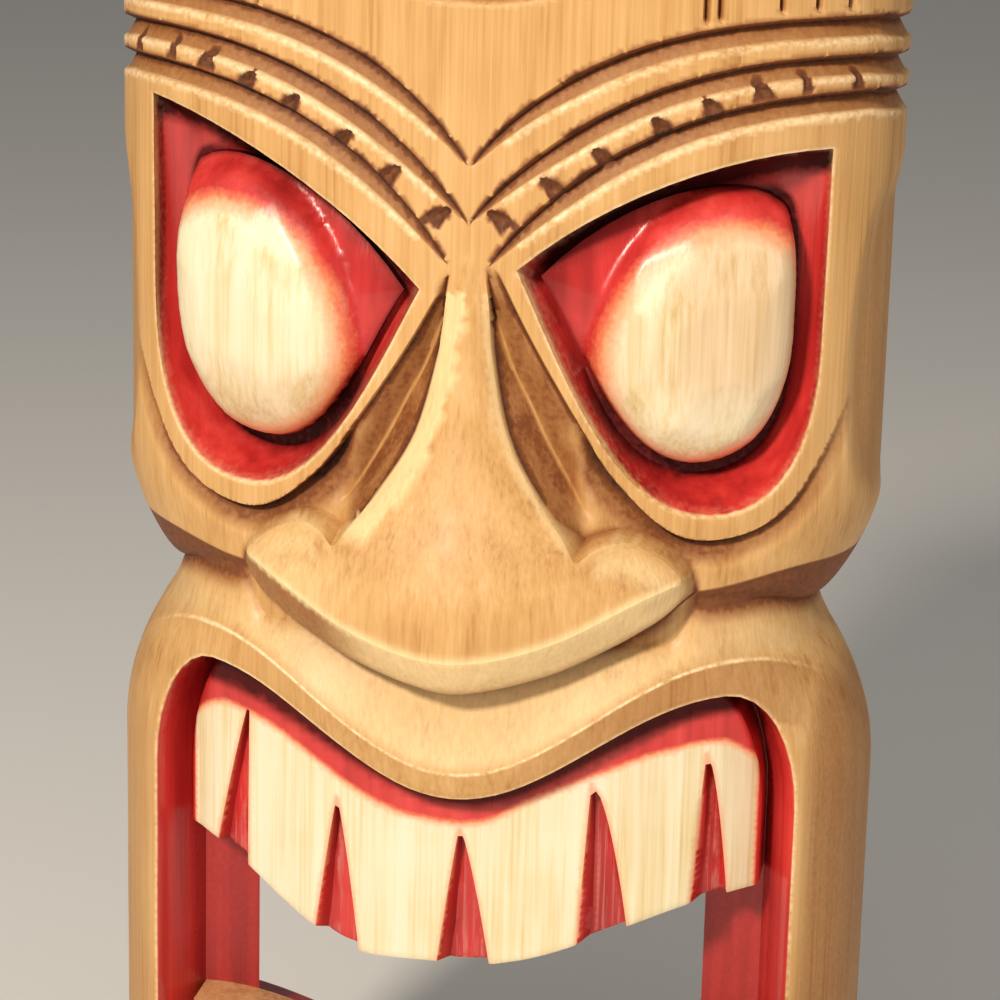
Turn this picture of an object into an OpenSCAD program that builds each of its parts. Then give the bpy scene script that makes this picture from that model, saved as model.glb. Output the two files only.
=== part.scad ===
// Carved tiki wall mask: a half log with let-in eyes and teeth, hung from a ring at its back.
// X runs across the face, Z is up, and the face looks towards -Y. Sizes are in millimetres.

/* [Block] */
// Height of the block
block_h = 500; // [470:5:560]
// Width of the block across its sides
block_w = 220; // [208:2:240]
// Depth of the head from the flat back to the front of the brow
head_depth = 66; // [60:1:74]
// Depth of the jaw from the flat back to the front of the mouth edge
jaw_depth = 71; // [66:1:78]
// Squareness of the half-log section, where 2 is a plain ellipse
section_power = 2.3; // [2.1:0.1:2.8]
// Height of the crease between head and jaw
waist_z = 223; // [213:1:233]
// How far each side is cut in at the crease
waist_cut = 18; // [10:1:24]
// Height over which the cheeks roll in above the crease
cheek_roll = 44; // [34:1:54]
// Height over which the jaw rolls in below the crease
jaw_roll = 48; // [38:1:56]
// How far each side of the chin is rounded in at the base
chin_cut = 8; // [3:1:14]
// Height over which the chin is rounded in
chin_roll = 34; // [20:1:44]
// How much of those side cuts the front follows, as a share
front_share = 0.25; // [0:0.05:0.5]

/* [Nose and lip] */
// Depth from the flat back to the tip of the nose, the deepest point of the mask
nose_depth = 90; // [86:1:98]
// Half the width across the wings of the nose
nose_half_w = 61; // [54:1:66]
// Height of the bridge of the nose above the crease
bridge_rise = 109; // [100:1:116]
// How far the underside of the nose hangs below the crease
nose_drop = 11.5; // [9:0.5:14]
// How far the rolled lip stands out from the jaw
lip_roll = 5.5; // [3:0.5:8]
// Half the height of the rolled lip
lip_half_h = 12; // [9:0.5:15]
// Distance of the crest of each lip from the edge of the mouth
lip_gap = 9; // [7:0.5:11]
// Depth of the gouged trough between nose and eye
trough_depth = 6; // [3:0.5:8]
// Half the width of that trough
trough_half_w = 7; // [5:0.5:9]

/* [Brow carving] */
// Depth of the carved grooves
groove_depth = 3; // [2:0.25:4.5]
// Width of the carved grooves
groove_w = 4; // [3:0.25:5]
// Radius of the wide arc carved on the forehead
arc_r = 88; // [80:1:96]
// Height of the lowest point of that arc above the crease
arc_rise = 171; // [168:1:180]
// Number of upright grooves in the hair on each side
hair_grooves = 5; // [2:1:5]

/* [Eyes] */
// Distance of each eye from the middle of the face
eye_x = 61; // [60:0.5:63]
// Height of the middle of the eyes above the crease
eye_rise = 83; // [80:1:86]
// How much steeper the left socket lies and how much flatter the right one, as rise over run
eye_slant = 0.08; // [0:0.01:0.12]
// How far the eyes are turned outwards, in degrees
eye_yaw = 19; // [14:1:24]
// Depth of the sockets at the middle of the eye
socket_depth = 14; // [11:0.5:16]
// Width of the flat left round the eyeball on the floor of the socket
socket_ledge = 2.5; // [1:0.25:4]
// Height of the eyeball above its seat
eyeball_h = 15; // [11:0.5:17]
// Radius of the round tenon behind the eyeball
tenon_r = 9; // [6:0.5:12]
// Length of that tenon
tenon_l = 12; // [8:0.5:16]

/* [Mouth] */
// Half the width of the mouth
mouth_half_w = 92; // [89:0.5:95]
// How far the middle of the upper mouth edge lies below the crease
mouth_drop = 45.5; // [43:0.5:49]
// How far the upper mouth edge rises towards its corners
mouth_arch = 30.5; // [26:0.5:33]
// Height of the middle of the lower mouth edge
mouth_bottom_z = 36; // [32:1:40]
// How far the lower mouth edge rises towards its corners
mouth_sag = 10; // [6:0.5:14]
// Depth of wood left between the back and the floor of the mouth
mouth_floor = 24; // [20:0.5:28]
// How far the side walls of the mouth slope in from rim to floor
mouth_draft = 9; // [6:0.5:11]
// Half the width of the cut through the mouth
gape_half_w = 66; // [60:0.5:70]
// How far the cut runs on behind the teeth
gape_lap = 6; // [3:0.5:9]
// How much wider the cut is at the back than at the floor of the mouth, on each side
gape_flare = 8; // [4:0.5:10]

/* [Teeth] */
// Depth from the flat back to the front of the teeth
teeth_depth = 62; // [56:0.5:66]
// Half the width of the round that the front of the teeth follows
teeth_bow = 98; // [95:1:110]
// Height of the middle of the upper teeth, from the mouth edge to their tips
upper_teeth_h = 51.5; // [47:0.5:55]
// Height of the middle of the lower teeth, from the mouth edge to their tips
lower_teeth_h = 42; // [36:0.5:46]
// Depth of the V cuts between the teeth
cut_depth = 5; // [3:0.5:7]
// Radius of the hidden pins
pin_r = 3; // [2:0.25:4]
// Length of a pin, half of it in the block
pin_l = 24; // [16:1:26]

/* [Hanger] */
// Distance from the top of the block down to the axis of the ring
hanger_drop = 60; // [45:1:80]
// Depth of the recess in the back
recess_depth = 8; // [7:0.5:12]
// Width of the recess
recess_w = 44; // [38:1:60]
// Height of the recess above and below the axis
recess_half_h = 32; // [30:1:44]
// Corner radius of the recess
recess_r = 5; // [3:0.5:8]
// Width of the strap
strap_w = 15; // [12:0.5:17]
// Thickness of the strap
strap_t = 1; // [0.8:0.1:1.4]
// Length of the strap below the axis
strap_l = 21; // [20:0.5:22]
// Radius of the ring's wire
wire_r = 1.2; // [0.9:0.1:1.5]
// Half the width of the ring at the middle of its wire
ring_half_w = 11; // [10.5:0.25:14]
// Length of the ring at the middle of its wire
ring_l = 24; // [23.5:0.5:28]
// Corner radius of the ring at the middle of its wire
ring_corner_r = 3; // [2:0.25:3.25]
// Radius of the screws' shank
screw_r = 1.5; // [1:0.1:1.8]
// Radius of the screws' head
screw_head_r = 3; // [2.6:0.1:3.4]
// Length of the screws below the head
screw_l = 14; // [10:0.5:18]

/* [Fits] */
// Running clearance of the wire in the strap's eye
ring_fit = 0.08; // [0.04:0.01:0.1]
// Glue clearance round tenons and pins
glue_fit = 0.1; // [0.05:0.01:0.2]
// Gap between the tooth bars and the edge of the mouth
teeth_fit = 0.3; // [0.2:0.05:0.5]
// Clearance of the screw shanks in their pilot holes
pilot_fit = 0.05; // [0.02:0.01:0.1]
// Clearance of the screw shanks in the strap's holes
strap_fit = 0.3; // [0.2:0.05:0.5]

/* [Hidden] */
$fn = 48;
// Two values of the cutters that pass clean through: their overshoot and their reach in front of the face
over = 1;
reach = 130;
section_steps = 36;
curve_steps = 10;

half_w = block_w / 2;
// Round corners of the mouth: their width, and their height at the top and at the bottom
corner_w = 20;
corner_up = 36;
corner_down = 16;
eye_z = waist_z + eye_rise;
mouth_top_z = waist_z - mouth_drop;
hanger_z = block_h - hanger_drop;
recess_floor = -recess_depth;
eye_hole_r = wire_r + ring_fit;
eye_outer_r = eye_hole_r + strap_t;
ring_y = recess_floor + eye_outer_r;
screw_drops = [7, 15.5];
pin_spots = [[54, mouth_top_z - 17], [50, mouth_bottom_z + 30]];

// Depth of a half-log section at a distance x from its middle
function section_p(x, w, depth) =
    depth * pow(max(0, 1 - pow(min(abs(x) / w, 1), section_power)), 1 / section_power);

// Outline of a half-log section, as [x, y] points, front towards -y, its flat on y = 0
function section_points(w, depth, steps) = [
    for (i = [0:steps])
    let (c = cos(180 * i / steps), s = max(0, sin(180 * i / steps)))
    [-w * sign(c) * pow(abs(c), 2 / section_power), -depth * pow(s, 2 / section_power)]];

// A smooth step from 0 to 1, shaped like half a wave
function ease(t) = (1 - cos(180 * min(max(t, 0), 1))) / 2;

// Points of a cubic curve, without its last point
function curve(a, b, c, d, steps) = [
    for (i = [0:steps - 1])
    let (t = i / steps, u = 1 - t)
    u * u * u * a + 3 * u * u * t * b + 3 * u * t * t * c + t * t * t * d];

// How far the side of the block is cut in at height z
function side_cut(z) =
    z > waist_z ? waist_cut * pow(max(0, 1 - (z - waist_z) / cheek_roll), 2)
    : waist_cut * pow(max(0, 1 - (waist_z - z) / jaw_roll), 2)
        + chin_cut * pow(max(0, 1 - z / chin_roll), 2);

// Depth of the block at its middle, before the sides are cut in
function crown_depth(z) = jaw_depth + (head_depth - jaw_depth) * ease((z - waist_z + 20) / 40);

// Heights of the two edges of the mouth, and of the lips' crests, at a distance x from the middle
function mouth_top(x) = mouth_top_z + mouth_arch * ease(abs(x) / (mouth_half_w - corner_w));
function mouth_bottom(x) = mouth_bottom_z + mouth_sag * ease(abs(x) / (mouth_half_w - corner_w));
function bump(d) = exp(-pow(d, 2));
function crest_bend(x) = 0.018 * pow(max(0, abs(x) - mouth_half_w + corner_w - 3), 2);
function lip_relief(x, z) = lip_roll * (bump((z - mouth_top(x) - lip_gap + crest_bend(x)) / lip_half_h)
    + bump((z - mouth_bottom(x) + lip_gap) / lip_half_h));

// Half width and depth of the block's section at height z, and the depth of its plain round at [x, z]
function level_w(z) = half_w - side_cut(z);
function level_depth(z) = crown_depth(z) * (1 - front_share * side_cut(z) / half_w);
function face_p(x, z) = section_p(x, level_w(z), level_depth(z));

// One level of the block, as a ring of points at height z, with the lips' roll fading out to the back
function block_ring(z) = [
    for (q = section_points(level_w(z), level_depth(z), section_steps))
    [q[0], q[1] * (1 + lip_relief(q[0], z) / level_depth(z)), z]];

function steps_between(a, b, n) = [for (i = [0:n - 1]) a + (b - a) * i / n];

lower_lip_top = mouth_bottom_z + mouth_sag + 2 * lip_half_h;
upper_lip_foot = mouth_top_z - lip_half_h;
block_levels = concat(
    steps_between(0, lower_lip_top, 11),
    steps_between(lower_lip_top, upper_lip_foot, 4),
    steps_between(upper_lip_foot, waist_z, 13),
    steps_between(waist_z, waist_z + cheek_roll, 9),
    [waist_z + cheek_roll, block_h]);

// A solid through a list of level rings, which all have as many points
module loft(rings) {
    n = len(rings[0]);
    last = len(rings) - 1;
    sides = [
        for (i = [0:last - 1], j = [0:n - 1])
        let (a = i * n + j, b = i * n + (j + 1) % n)
        each [[a, a + n, b + n], [a, b + n, b]]];
    bottom = [[for (j = [0:n - 1]) j]];
    top = [[for (j = [n - 1:-1:0]) last * n + j]];
    polyhedron([for (ring = rings) each ring], concat(sides, bottom, top), convexity = 8);
}

// A flat shape drawn in the plane of the face, cut through from one depth to another
module frontal(from_p, to_p) {
    translate([0, -from_p, 0])
        rotate([90, 0, 0])
            linear_extrude(to_p - from_p)
                children();
}

// Moves a shape from its place on the bench, back on y = 0, into the frame of the part
module in_frame() {
    translate([0, nose_depth / 2, 0])
        children();
}

// Nose: levels as [height above the crease, half width, depth at the edge, depth at the ridge]
nose_levels = [
    [bridge_rise, 3, head_depth - 1, head_depth + 0.5],
    [bridge_rise - 14, 5.5, head_depth + 1, head_depth + 2.5],
    [bridge_rise - 32, 7.5, head_depth + 3, head_depth + 5],
    [bridge_rise - 52, 13, head_depth + 5, nose_depth - 15],
    [40, 22, head_depth + 6, nose_depth - 10],
    [31, 31, head_depth + 6, nose_depth - 6],
    [28, nose_half_w - 14, head_depth + 5, nose_depth - 5.5],
    [22, nose_half_w - 3, head_depth + 3.5, nose_depth - 4],
    [15, nose_half_w, head_depth + 3, nose_depth - 2],
    [8.5, nose_half_w - 8, head_depth + 6.5, nose_depth - 1],
    [1, nose_half_w - 20, head_depth + 10, nose_depth - 0.5],
    [-5, nose_half_w - 32, head_depth + 14, nose_depth],
    [-9, nose_half_w - 45, head_depth + 17, nose_depth - 1],
    [-nose_drop, nose_half_w - 55, head_depth + 18.5, nose_depth - 3]];
nose_root = 40;
nose_steps = 12;

function nose_ring(level) = concat(
    [[-level[1] - 3, -nose_root, waist_z + level[0]]],
    [for (i = [0:nose_steps])
        let (t = 2 * i / nose_steps - 1)
        [level[1] * t, -level[2] - (level[3] - level[2]) * (1 - pow(abs(t), 1.6)), waist_z + level[0]]],
    [[level[1] + 3, -nose_root, waist_z + level[0]]]);

module nose() {
    loft([for (i = [len(nose_levels) - 1:-1:0]) nose_ring(nose_levels[i])]);
}

// Trough on the right side: its middle, as [x, height above the crease], and the profile of its gouge,
// as [part of the half width, part of the depth]
trough_line = concat(
    curve([11.5, 92], [22, 62], [38, 24], [61, 23], curve_steps),
    curve([61, 23], [80, 22], [95, 36], [101, 60], curve_steps),
    [[101, 60]]);
trough_profile = [[-1, 0], [-0.5, -0.4], [0.1, -0.8], [0.6, -1], [0.85, -0.85], [1, 0]];
trough_top = 6;

// One ring across the trough at the point i of its line, shallow at the two ends
function trough_ring(i) =
    let (
        last = len(trough_line) - 1,
        step = trough_line[min(i + 1, last)] - trough_line[max(i - 1, 0)],
        along = step / norm(step),
        size = 0.25 + 0.75 * sin(180 * i / last))
    [for (k = [0:len(trough_profile) + 1])
        let (
            rim = k == 0 || k == len(trough_profile) + 1,
            q = trough_profile[min(max(k - 1, 0), len(trough_profile) - 1)],
            u = q[0] * trough_half_w * size,
            x = trough_line[i][0] - along[1] * u,
            z = waist_z + trough_line[i][1] + along[0] * u,
            rise = rim ? trough_top : q[1] * trough_depth * size)
        [x, -face_p(x, z) - rise, z]];

module trough() {
    loft([for (i = [0:len(trough_line) - 1]) trough_ring(i)]);
}

// Brow grooves: control points as [x, height above the crease], from the middle outwards
brow_curves = [
    [[1, 130], [22, 156], [52, 171], [104, 168]],
    [[1, 115], [24, 141], [54, 161], [102, 158]],
    [[6, 103], [22, 123], [52, 150], [103, 148]]];

function groove_line(controls) = concat(
    curve(controls[0], controls[1], controls[2], controls[3], curve_steps),
    [controls[3], [half_w + over, controls[3][1] - 2]]);

module groove(line) {
    upper = [for (q = line) [q[0], waist_z + q[1] + groove_w / 2]];
    lower = [for (i = [len(line) - 1:-1:0]) [line[i][0], waist_z + line[i][1] - groove_w / 2]];
    frontal(-over, reach)
        polygon(concat(upper, lower));
}

// Cuts of the brow, the hair and the forehead arc, all of one depth below the round of the head
module carving() {
    arc_z = waist_z + arc_rise + arc_r;
    arc_half = 41;
    hair_spots = [half_w - 51, half_w - 47, half_w - 32, half_w - 23, half_w - 15];
    hair_bottom = waist_z + arc_rise - 3;
    difference() {
        union() {
            for (side = [0, 1])
                mirror([side, 0, 0]) {
                    for (controls = brow_curves)
                        groove(groove_line(controls));
                    for (i = [0:hair_grooves - 1])
                        translate([hair_spots[i], -reach, hair_bottom])
                            cube([groove_w / 2, reach + over, block_h - hair_bottom + over]);
                }
            frontal(-over, reach)
                polygon(concat(
                    [for (i = [0:2 * curve_steps])
                        let (a = arc_half * (i / curve_steps - 1))
                        [arc_r * sin(a), arc_z - arc_r * cos(a)]],
                    [for (i = [2 * curve_steps:-1:0])
                        let (a = arc_half * (i / curve_steps - 1), r = arc_r - groove_w)
                        [r * sin(a), arc_z - r * cos(a)]]));
        }
        translate([0, 0, waist_z])
            linear_extrude(block_h)
                polygon(section_points(half_w - groove_depth, head_depth - groove_depth, section_steps));
    }
}

// Eyes: outlines on the right side, as [x, height above the crease], from the outer top corner round
socket_outline = concat(
    curve([93, 137.5], [68, 136], [35, 120], [13, 98.5], curve_steps),
    curve([13, 98.5], [22, 81], [38, 39], [60, 36.5], curve_steps),
    curve([60, 36.5], [80, 34], [92, 49], [92.5, 82], curve_steps),
    curve([92.5, 82], [92.7, 100], [92.9, 120], [93, 137.5], curve_steps));
eyeball_outline = concat(
    curve([80, 117], [68, 126], [38, 115], [19.5, 95.5], curve_steps),
    curve([19.5, 95.5], [30, 81], [38, 49], [57, 48], curve_steps),
    curve([57, 48], [74, 47.5], [83.5, 63], [83.5, 89], curve_steps),
    curve([83.5, 89], [83.5, 99], [84, 114], [80, 117], curve_steps));
eyeball_steps = 6;
eyeball_mean_r = 33;
// The outlines of one side, sheared by its slant about a point between nose and ear
slant_x = 54;
function slanted(outline, slant) = [for (q = outline) [q[0], q[1] + slant * (q[0] - slant_x)]];
eye_seat_p = section_p(eye_x, half_w, head_depth) - socket_depth;

// Puts a shape on the seat of the right eye, its axis z pointing out of the face
module on_eye_seat() {
    translate([eye_x, -eye_seat_p, eye_z])
        rotate([90, 0, eye_yaw])
            children();
}

// Rings of the socket: its flat floor, its rim on the round of the head, and its way out of the wood
function socket_floor(slant) =
    let (k = 1 + socket_ledge / eyeball_mean_r)
    [for (q = slanted(eyeball_outline, slant))
        [eye_x + k * (q[0] - eye_x), k * (q[0] - eye_x) * tan(eye_yaw) - eye_seat_p,
            eye_z + k * (q[1] - eye_rise)]];
function socket_rim(slant) = [
    for (q = slanted(socket_outline, slant)) [q[0], -section_p(q[0], half_w, head_depth), waist_z + q[1]]];
function socket_mouth(slant) = [for (q = slanted(socket_outline, slant)) [q[0], -reach, waist_z + q[1]]];

module socket(slant) {
    loft([socket_floor(slant), socket_rim(slant), socket_mouth(slant)]);
    on_eye_seat()
        translate([0, 0, -tenon_l - glue_fit])
            cylinder(r = tenon_r + glue_fit, h = tenon_l + glue_fit + over);
}

function eyeball_ring(a, slant) =
    let (s = pow(cos(a), 0.8), h = eyeball_h * pow(sin(a), 0.8))
    [for (q = slanted(eyeball_outline, slant))
        [s * (q[0] - eye_x) / cos(eye_yaw), s * (q[1] - eye_rise), h]];

module eyeball(slant) {
    on_eye_seat() {
        loft([for (i = [0:eyeball_steps]) eyeball_ring(84 * i / eyeball_steps, slant)]);
        translate([0, 0, -tenon_l])
            cylinder(r = tenon_r, h = tenon_l + over);
    }
}

// Mouth: half of its rim, from the middle of the upper edge round to the middle of the lower edge
mouth_upper_half = concat(
    [for (x = steps_between(0, mouth_half_w - corner_w, 2 * curve_steps)) [x, mouth_top(x)]],
    [for (a = steps_between(0, 90, curve_steps))
        [mouth_half_w - corner_w * (1 - sin(a)), mouth_top_z + mouth_arch - corner_up * (1 - cos(a))]],
    [[mouth_half_w, mouth_top_z + mouth_arch - corner_up]]);
mouth_lower_half = concat(
    [for (a = steps_between(0, 90, curve_steps))
        [mouth_half_w - corner_w * (1 - cos(a)), mouth_bottom_z + mouth_sag + corner_down * (1 - sin(a))]],
    [for (x = steps_between(mouth_half_w - corner_w, 0, curve_steps)) [x, mouth_bottom(x)]],
    [[0, mouth_bottom_z]]);

// The floor of the mouth is narrower than the rim: only its side walls slope
upright_half_w = 60;
function drafted(q) = [
    q[0] - mouth_draft * ease((q[0] - upright_half_w) / (mouth_half_w - upright_half_w)), q[1]];
function both_sides(half) = concat(
    [for (i = [len(half) - 1:-1:0]) half[i]],
    [for (i = [1:len(half) - 2]) [-half[i][0], half[i][1]]]);

mouth_half = concat(mouth_upper_half, mouth_lower_half);

module mouth() {
    rim = both_sides(mouth_half);
    floor_outline = both_sides([for (q = mouth_half) drafted(q)]);
    loft([
        [for (q = floor_outline) [q[0], -mouth_floor, q[1]]],
        [for (q = rim) [q[0], -section_p(q[0], half_w, jaw_depth), q[1]]],
        [for (q = rim) [q[0], -reach, q[1]]]]);
}

// Heights of the tips of the teeth: the upper ones rise late and high on the left, early and less on the right
function upper_tips(x) = mouth_top_z - upper_teeth_h
    + (x < 0 ? 27 * ease((-x - 22) / (mouth_half_w - 30)) : 22 * ease(x / (mouth_half_w - 8)));
function lower_tips(x) = mouth_bottom_z + lower_teeth_h + 18.5 * ease(abs(x) / (mouth_half_w - 12));

function across(w, steps) = [for (i = [-steps:steps]) w * i / steps];

module gape() {
    outline = concat(
        [for (x = across(gape_half_w, curve_steps)) [x, lower_tips(x) - gape_lap]],
        [for (x = across(-gape_half_w, curve_steps)) [x, upper_tips(x) + gape_lap]]);
    middle = (upper_tips(0) + lower_tips(0)) / 2;
    k = 1 + gape_flare / gape_half_w;
    loft([
        [for (q = outline) [k * q[0], over, middle + k * (q[1] - middle)]],
        [for (q = outline) [q[0], -mouth_floor - over, q[1]]]]);
}

// V cuts between the teeth, as [x, length of the cut from the tips, its reach at the tips to the left, to the right]
upper_cuts = [[-62, 46.5, 10.6, 0.4], [-34.8, 39.5, 6.2, 7.1], [0.6, 37, 5.8, 9.3], [36.8, 45.5, 2.6, 10.8],
    [67.2, 40.5, 3, 6.8]];
lower_cuts = [[-62, 26, 5, 5], [-33, 27, 6, 6], [0, 26, 7, 7], [33, 27, 6, 6], [62, 26, 5, 5]];

// One cut from its apex past the tips, with up 1 for teeth that point down and -1 for teeth that point up
module v_cut(cut, tip_z, up) {
    past = 1.15;
    frontal(mouth_floor, reach)
        polygon([
            [cut[0] - past * cut[2], tip_z + up * cut[1] * (1 - past)], [cut[0], tip_z + up * cut[1]],
            [cut[0] + past * cut[3], tip_z + up * cut[1] * (1 - past)]]);
}

// A block of a given outline on the floor of the mouth, its front rounded
module bar_body(outline, back_off) {
    intersection() {
        frontal(mouth_floor, reach)
            polygon(outline);
        linear_extrude(block_h)
            polygon(section_points(teeth_bow - back_off, teeth_depth - back_off, section_steps));
    }
}

// A curved bar of teeth with its V cuts, drilled for its two pins
module tooth_bar(outline, cuts, tips, up, spot) {
    difference() {
        union() {
            bar_body(outline, cut_depth);
            difference() {
                bar_body(outline, 0);
                for (i = [0:len(cuts) - 1])
                    v_cut(cuts[i], tips[i], up);
            }
        }
        for (side = [-1, 1])
            pin_hole(side * spot[0], spot[1]);
    }
}

module pin_hole(x, z) {
    translate([x, -mouth_floor - pin_l / 2 - glue_fit, z])
        rotate([-90, 0, 0])
            cylinder(r = pin_r + glue_fit, h = pin_l + 2 * glue_fit);
}

// Outlines of the bars: the edge of the mouth's floor, drawn in by the fit, and the tips of the teeth
teeth_half_w = mouth_half_w - mouth_draft - teeth_fit;
function drawn_in(q, up) =
    let (d = drafted(q))
    [d[0] * teeth_half_w / (teeth_half_w + teeth_fit), d[1] - up * teeth_fit];
function mirrored(half) = [for (i = [len(half) - 1:-1:0]) [-half[i][0], half[i][1]]];
upper_edge = [for (q = mouth_upper_half) drawn_in(q, 1)];
lower_edge = [for (q = mouth_lower_half) drawn_in(q, -1)];
function upper_bar_outline() = concat(
    upper_edge, [for (x = across(-teeth_half_w, 2 * curve_steps)) [x, upper_tips(x)]], mirrored(upper_edge));
function lower_bar_outline() = concat(
    [for (x = across(teeth_half_w, 2 * curve_steps)) [x, lower_tips(x)]], lower_edge, mirrored(lower_edge));

module hanger_recess() {
    x = recess_w / 2 - recess_r;
    z = recess_half_h - recess_r;
    translate([0, recess_floor, hanger_z])
        rotate([-90, 0, 0])
            linear_extrude(recess_depth + over) {
                square([recess_w, 2 * z], center = true);
                square([2 * x, 2 * recess_half_h], center = true);
                for (sx = [-x, x], sz = [-z, z])
                    translate([sx, sz])
                        circle(recess_r);
            }
    for (drop = screw_drops)
        translate([0, recess_floor + over, hanger_z - drop])
            rotate([90, 0, 0])
                cylinder(r = screw_r + pilot_fit, h = screw_l + over);
}

// The carved half log
module mask_block() {
    color("peru")
        in_frame()
            difference() {
                union() {
                    difference() {
                        loft([for (z = block_levels) block_ring(z)]);
                        for (side = [0, 1])
                            mirror([side, 0, 0])
                                trough();
                    }
                    nose();
                }
                carving();
                for (side = [0, 1])
                    mirror([side, 0, 0])
                        socket((2 * side - 1) * eye_slant);
                mouth();
                gape();
                for (side = [-1, 1], spot = pin_spots)
                    pin_hole(side * spot[0], spot[1]);
                hanger_recess();
            }
}

// Carved eye on the left of the picture
module left_eyeball() {
    color("cornsilk")
        in_frame()
            mirror([1, 0, 0])
                eyeball(eye_slant);
}

// Carved eye on the right of the picture
module right_eyeball() {
    color("cornsilk")
        in_frame()
            eyeball(-eye_slant);
}

// Bar of teeth under the upper lip
module upper_teeth() {
    color("cornsilk")
        in_frame()
            tooth_bar(upper_bar_outline(), upper_cuts, [for (cut = upper_cuts) upper_tips(cut[0])], 1, pin_spots[0]);
}

// Bar of teeth above the lower lip
module lower_teeth() {
    color("cornsilk")
        in_frame()
            tooth_bar(lower_bar_outline(), lower_cuts, [for (cut = lower_cuts) lower_tips(cut[0])], -1, pin_spots[1]);
}

// Hidden pins, half in the block and half in the bars
module teeth_pins() {
    color("burlywood")
        in_frame()
            for (side = [-1, 1], spot = pin_spots)
                translate([side * spot[0], -mouth_floor - pin_l / 2, spot[1]])
                    rotate([-90, 0, 0])
                        cylinder(r = pin_r, h = pin_l);
}

// Sheet strap with a rolled eye at its upper end
module hanger_strap() {
    round_r = strap_w / 2;
    color("goldenrod")
        in_frame()
            difference() {
                union() {
                    translate([-strap_w / 2, recess_floor, hanger_z - strap_l + round_r])
                        cube([strap_w, strap_t, strap_l - round_r]);
                    translate([0, recess_floor, hanger_z - strap_l + round_r])
                        rotate([-90, 0, 0])
                            cylinder(r = round_r, h = strap_t);
                    translate([-strap_w / 2, ring_y, hanger_z])
                        rotate([0, 90, 0])
                            cylinder(r = eye_outer_r, h = strap_w);
                }
                translate([-strap_w, ring_y, hanger_z])
                    rotate([0, 90, 0])
                        cylinder(r = eye_hole_r, h = 2 * strap_w);
                for (drop = screw_drops)
                    translate([0, recess_floor - over, hanger_z - drop])
                        rotate([-90, 0, 0])
                            cylinder(r = screw_r + strap_fit, h = strap_t + 2 * over);
            }
}

// Wire D-ring, hanging from the strap's eye
module hanger_ring() {
    bar = ring_half_w - ring_corner_r;
    leg = ring_l - ring_corner_r - ring_half_w;
    color("gold")
        in_frame()
            translate([0, ring_y, hanger_z]) {
                rotate([0, 90, 0])
                    cylinder(r = wire_r, h = 2 * bar, center = true);
                for (side = [0, 1])
                    mirror([side, 0, 0]) {
                        translate([bar, 0, -ring_corner_r])
                            rotate([90, 0, 0])
                                rotate_extrude(angle = 90)
                                    translate([ring_corner_r, 0])
                                        circle(wire_r);
                        translate([ring_half_w, 0, -ring_corner_r - leg])
                            cylinder(r = wire_r, h = leg);
                    }
                translate([0, 0, -ring_corner_r - leg])
                    rotate([90, 180, 0])
                        rotate_extrude(angle = 180)
                            translate([ring_half_w, 0])
                                circle(wire_r);
            }
}

// Round-head wood screws through the strap
module hanger_screws() {
    head_h = 1.8;
    slot_w = 0.8;
    slot_d = 0.9;
    color("darkgoldenrod")
        in_frame()
            for (drop = screw_drops)
                translate([0, recess_floor + strap_t, hanger_z - drop])
                    rotate([-90, 0, 0])
                        difference() {
                            rotate_extrude()
                                polygon(concat(
                                    [[0, -screw_l], [screw_r * 0.4, -screw_l], [screw_r, -screw_l + 3],
                                        [screw_r, 0]],
                                    [for (i = [0:curve_steps])
                                        let (a = 90 * i / curve_steps)
                                        [screw_head_r * cos(a), head_h * sin(a)]]));
                            translate([-screw_head_r, -slot_w / 2, head_h - slot_d])
                                cube([2 * screw_head_r, slot_w, head_h]);
                        }
}

mask_block();
left_eyeball();
right_eyeball();
upper_teeth();
lower_teeth();
teeth_pins();
hanger_strap();
hanger_ring();
hanger_screws();
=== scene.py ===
"""Looks of a carved tiki wall mask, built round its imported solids, in the part's own frame."""
import math
from types import SimpleNamespace

import bmesh
import bpy
import numpy as np
from mathutils import Matrix, Vector
from mathutils.geometry import delaunay_2d_cdt
from mathutils.kdtree import KDTree


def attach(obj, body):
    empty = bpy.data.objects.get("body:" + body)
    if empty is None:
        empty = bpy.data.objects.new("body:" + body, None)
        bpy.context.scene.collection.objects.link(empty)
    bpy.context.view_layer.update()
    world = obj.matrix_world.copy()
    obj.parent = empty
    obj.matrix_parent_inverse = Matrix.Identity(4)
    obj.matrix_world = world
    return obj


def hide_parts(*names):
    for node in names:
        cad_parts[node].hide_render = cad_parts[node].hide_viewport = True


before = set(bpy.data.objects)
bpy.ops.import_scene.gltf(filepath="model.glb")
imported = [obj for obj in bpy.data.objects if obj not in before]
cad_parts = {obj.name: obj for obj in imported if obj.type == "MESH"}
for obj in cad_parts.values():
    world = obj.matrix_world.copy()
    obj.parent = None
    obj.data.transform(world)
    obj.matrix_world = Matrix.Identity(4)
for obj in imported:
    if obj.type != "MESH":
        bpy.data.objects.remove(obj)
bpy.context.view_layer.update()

# Half log
# One split log of pale tropical hardwood, flat at the back. The face is cut with chisel and gouge, the cuts
# are stained brown, the sockets and the mouth painted red, and all of it is lacquered.
# Sizes are in millimetres: x across, z up from the base, p the depth in front of the flat back.
block_h = 500
half_w = 110
head_depth = 66
jaw_depth = 71
section_power = 2.3
back_y = 45
waist = 223
waist_cut = 18
chin_cut = 8


def ramp(t):
    """A straight step from 0 to 1"""
    return np.clip(t, 0, 1)


def ease(t):
    """A smooth step from 0 to 1"""
    return (1 - np.cos(np.pi * ramp(t))) / 2


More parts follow.
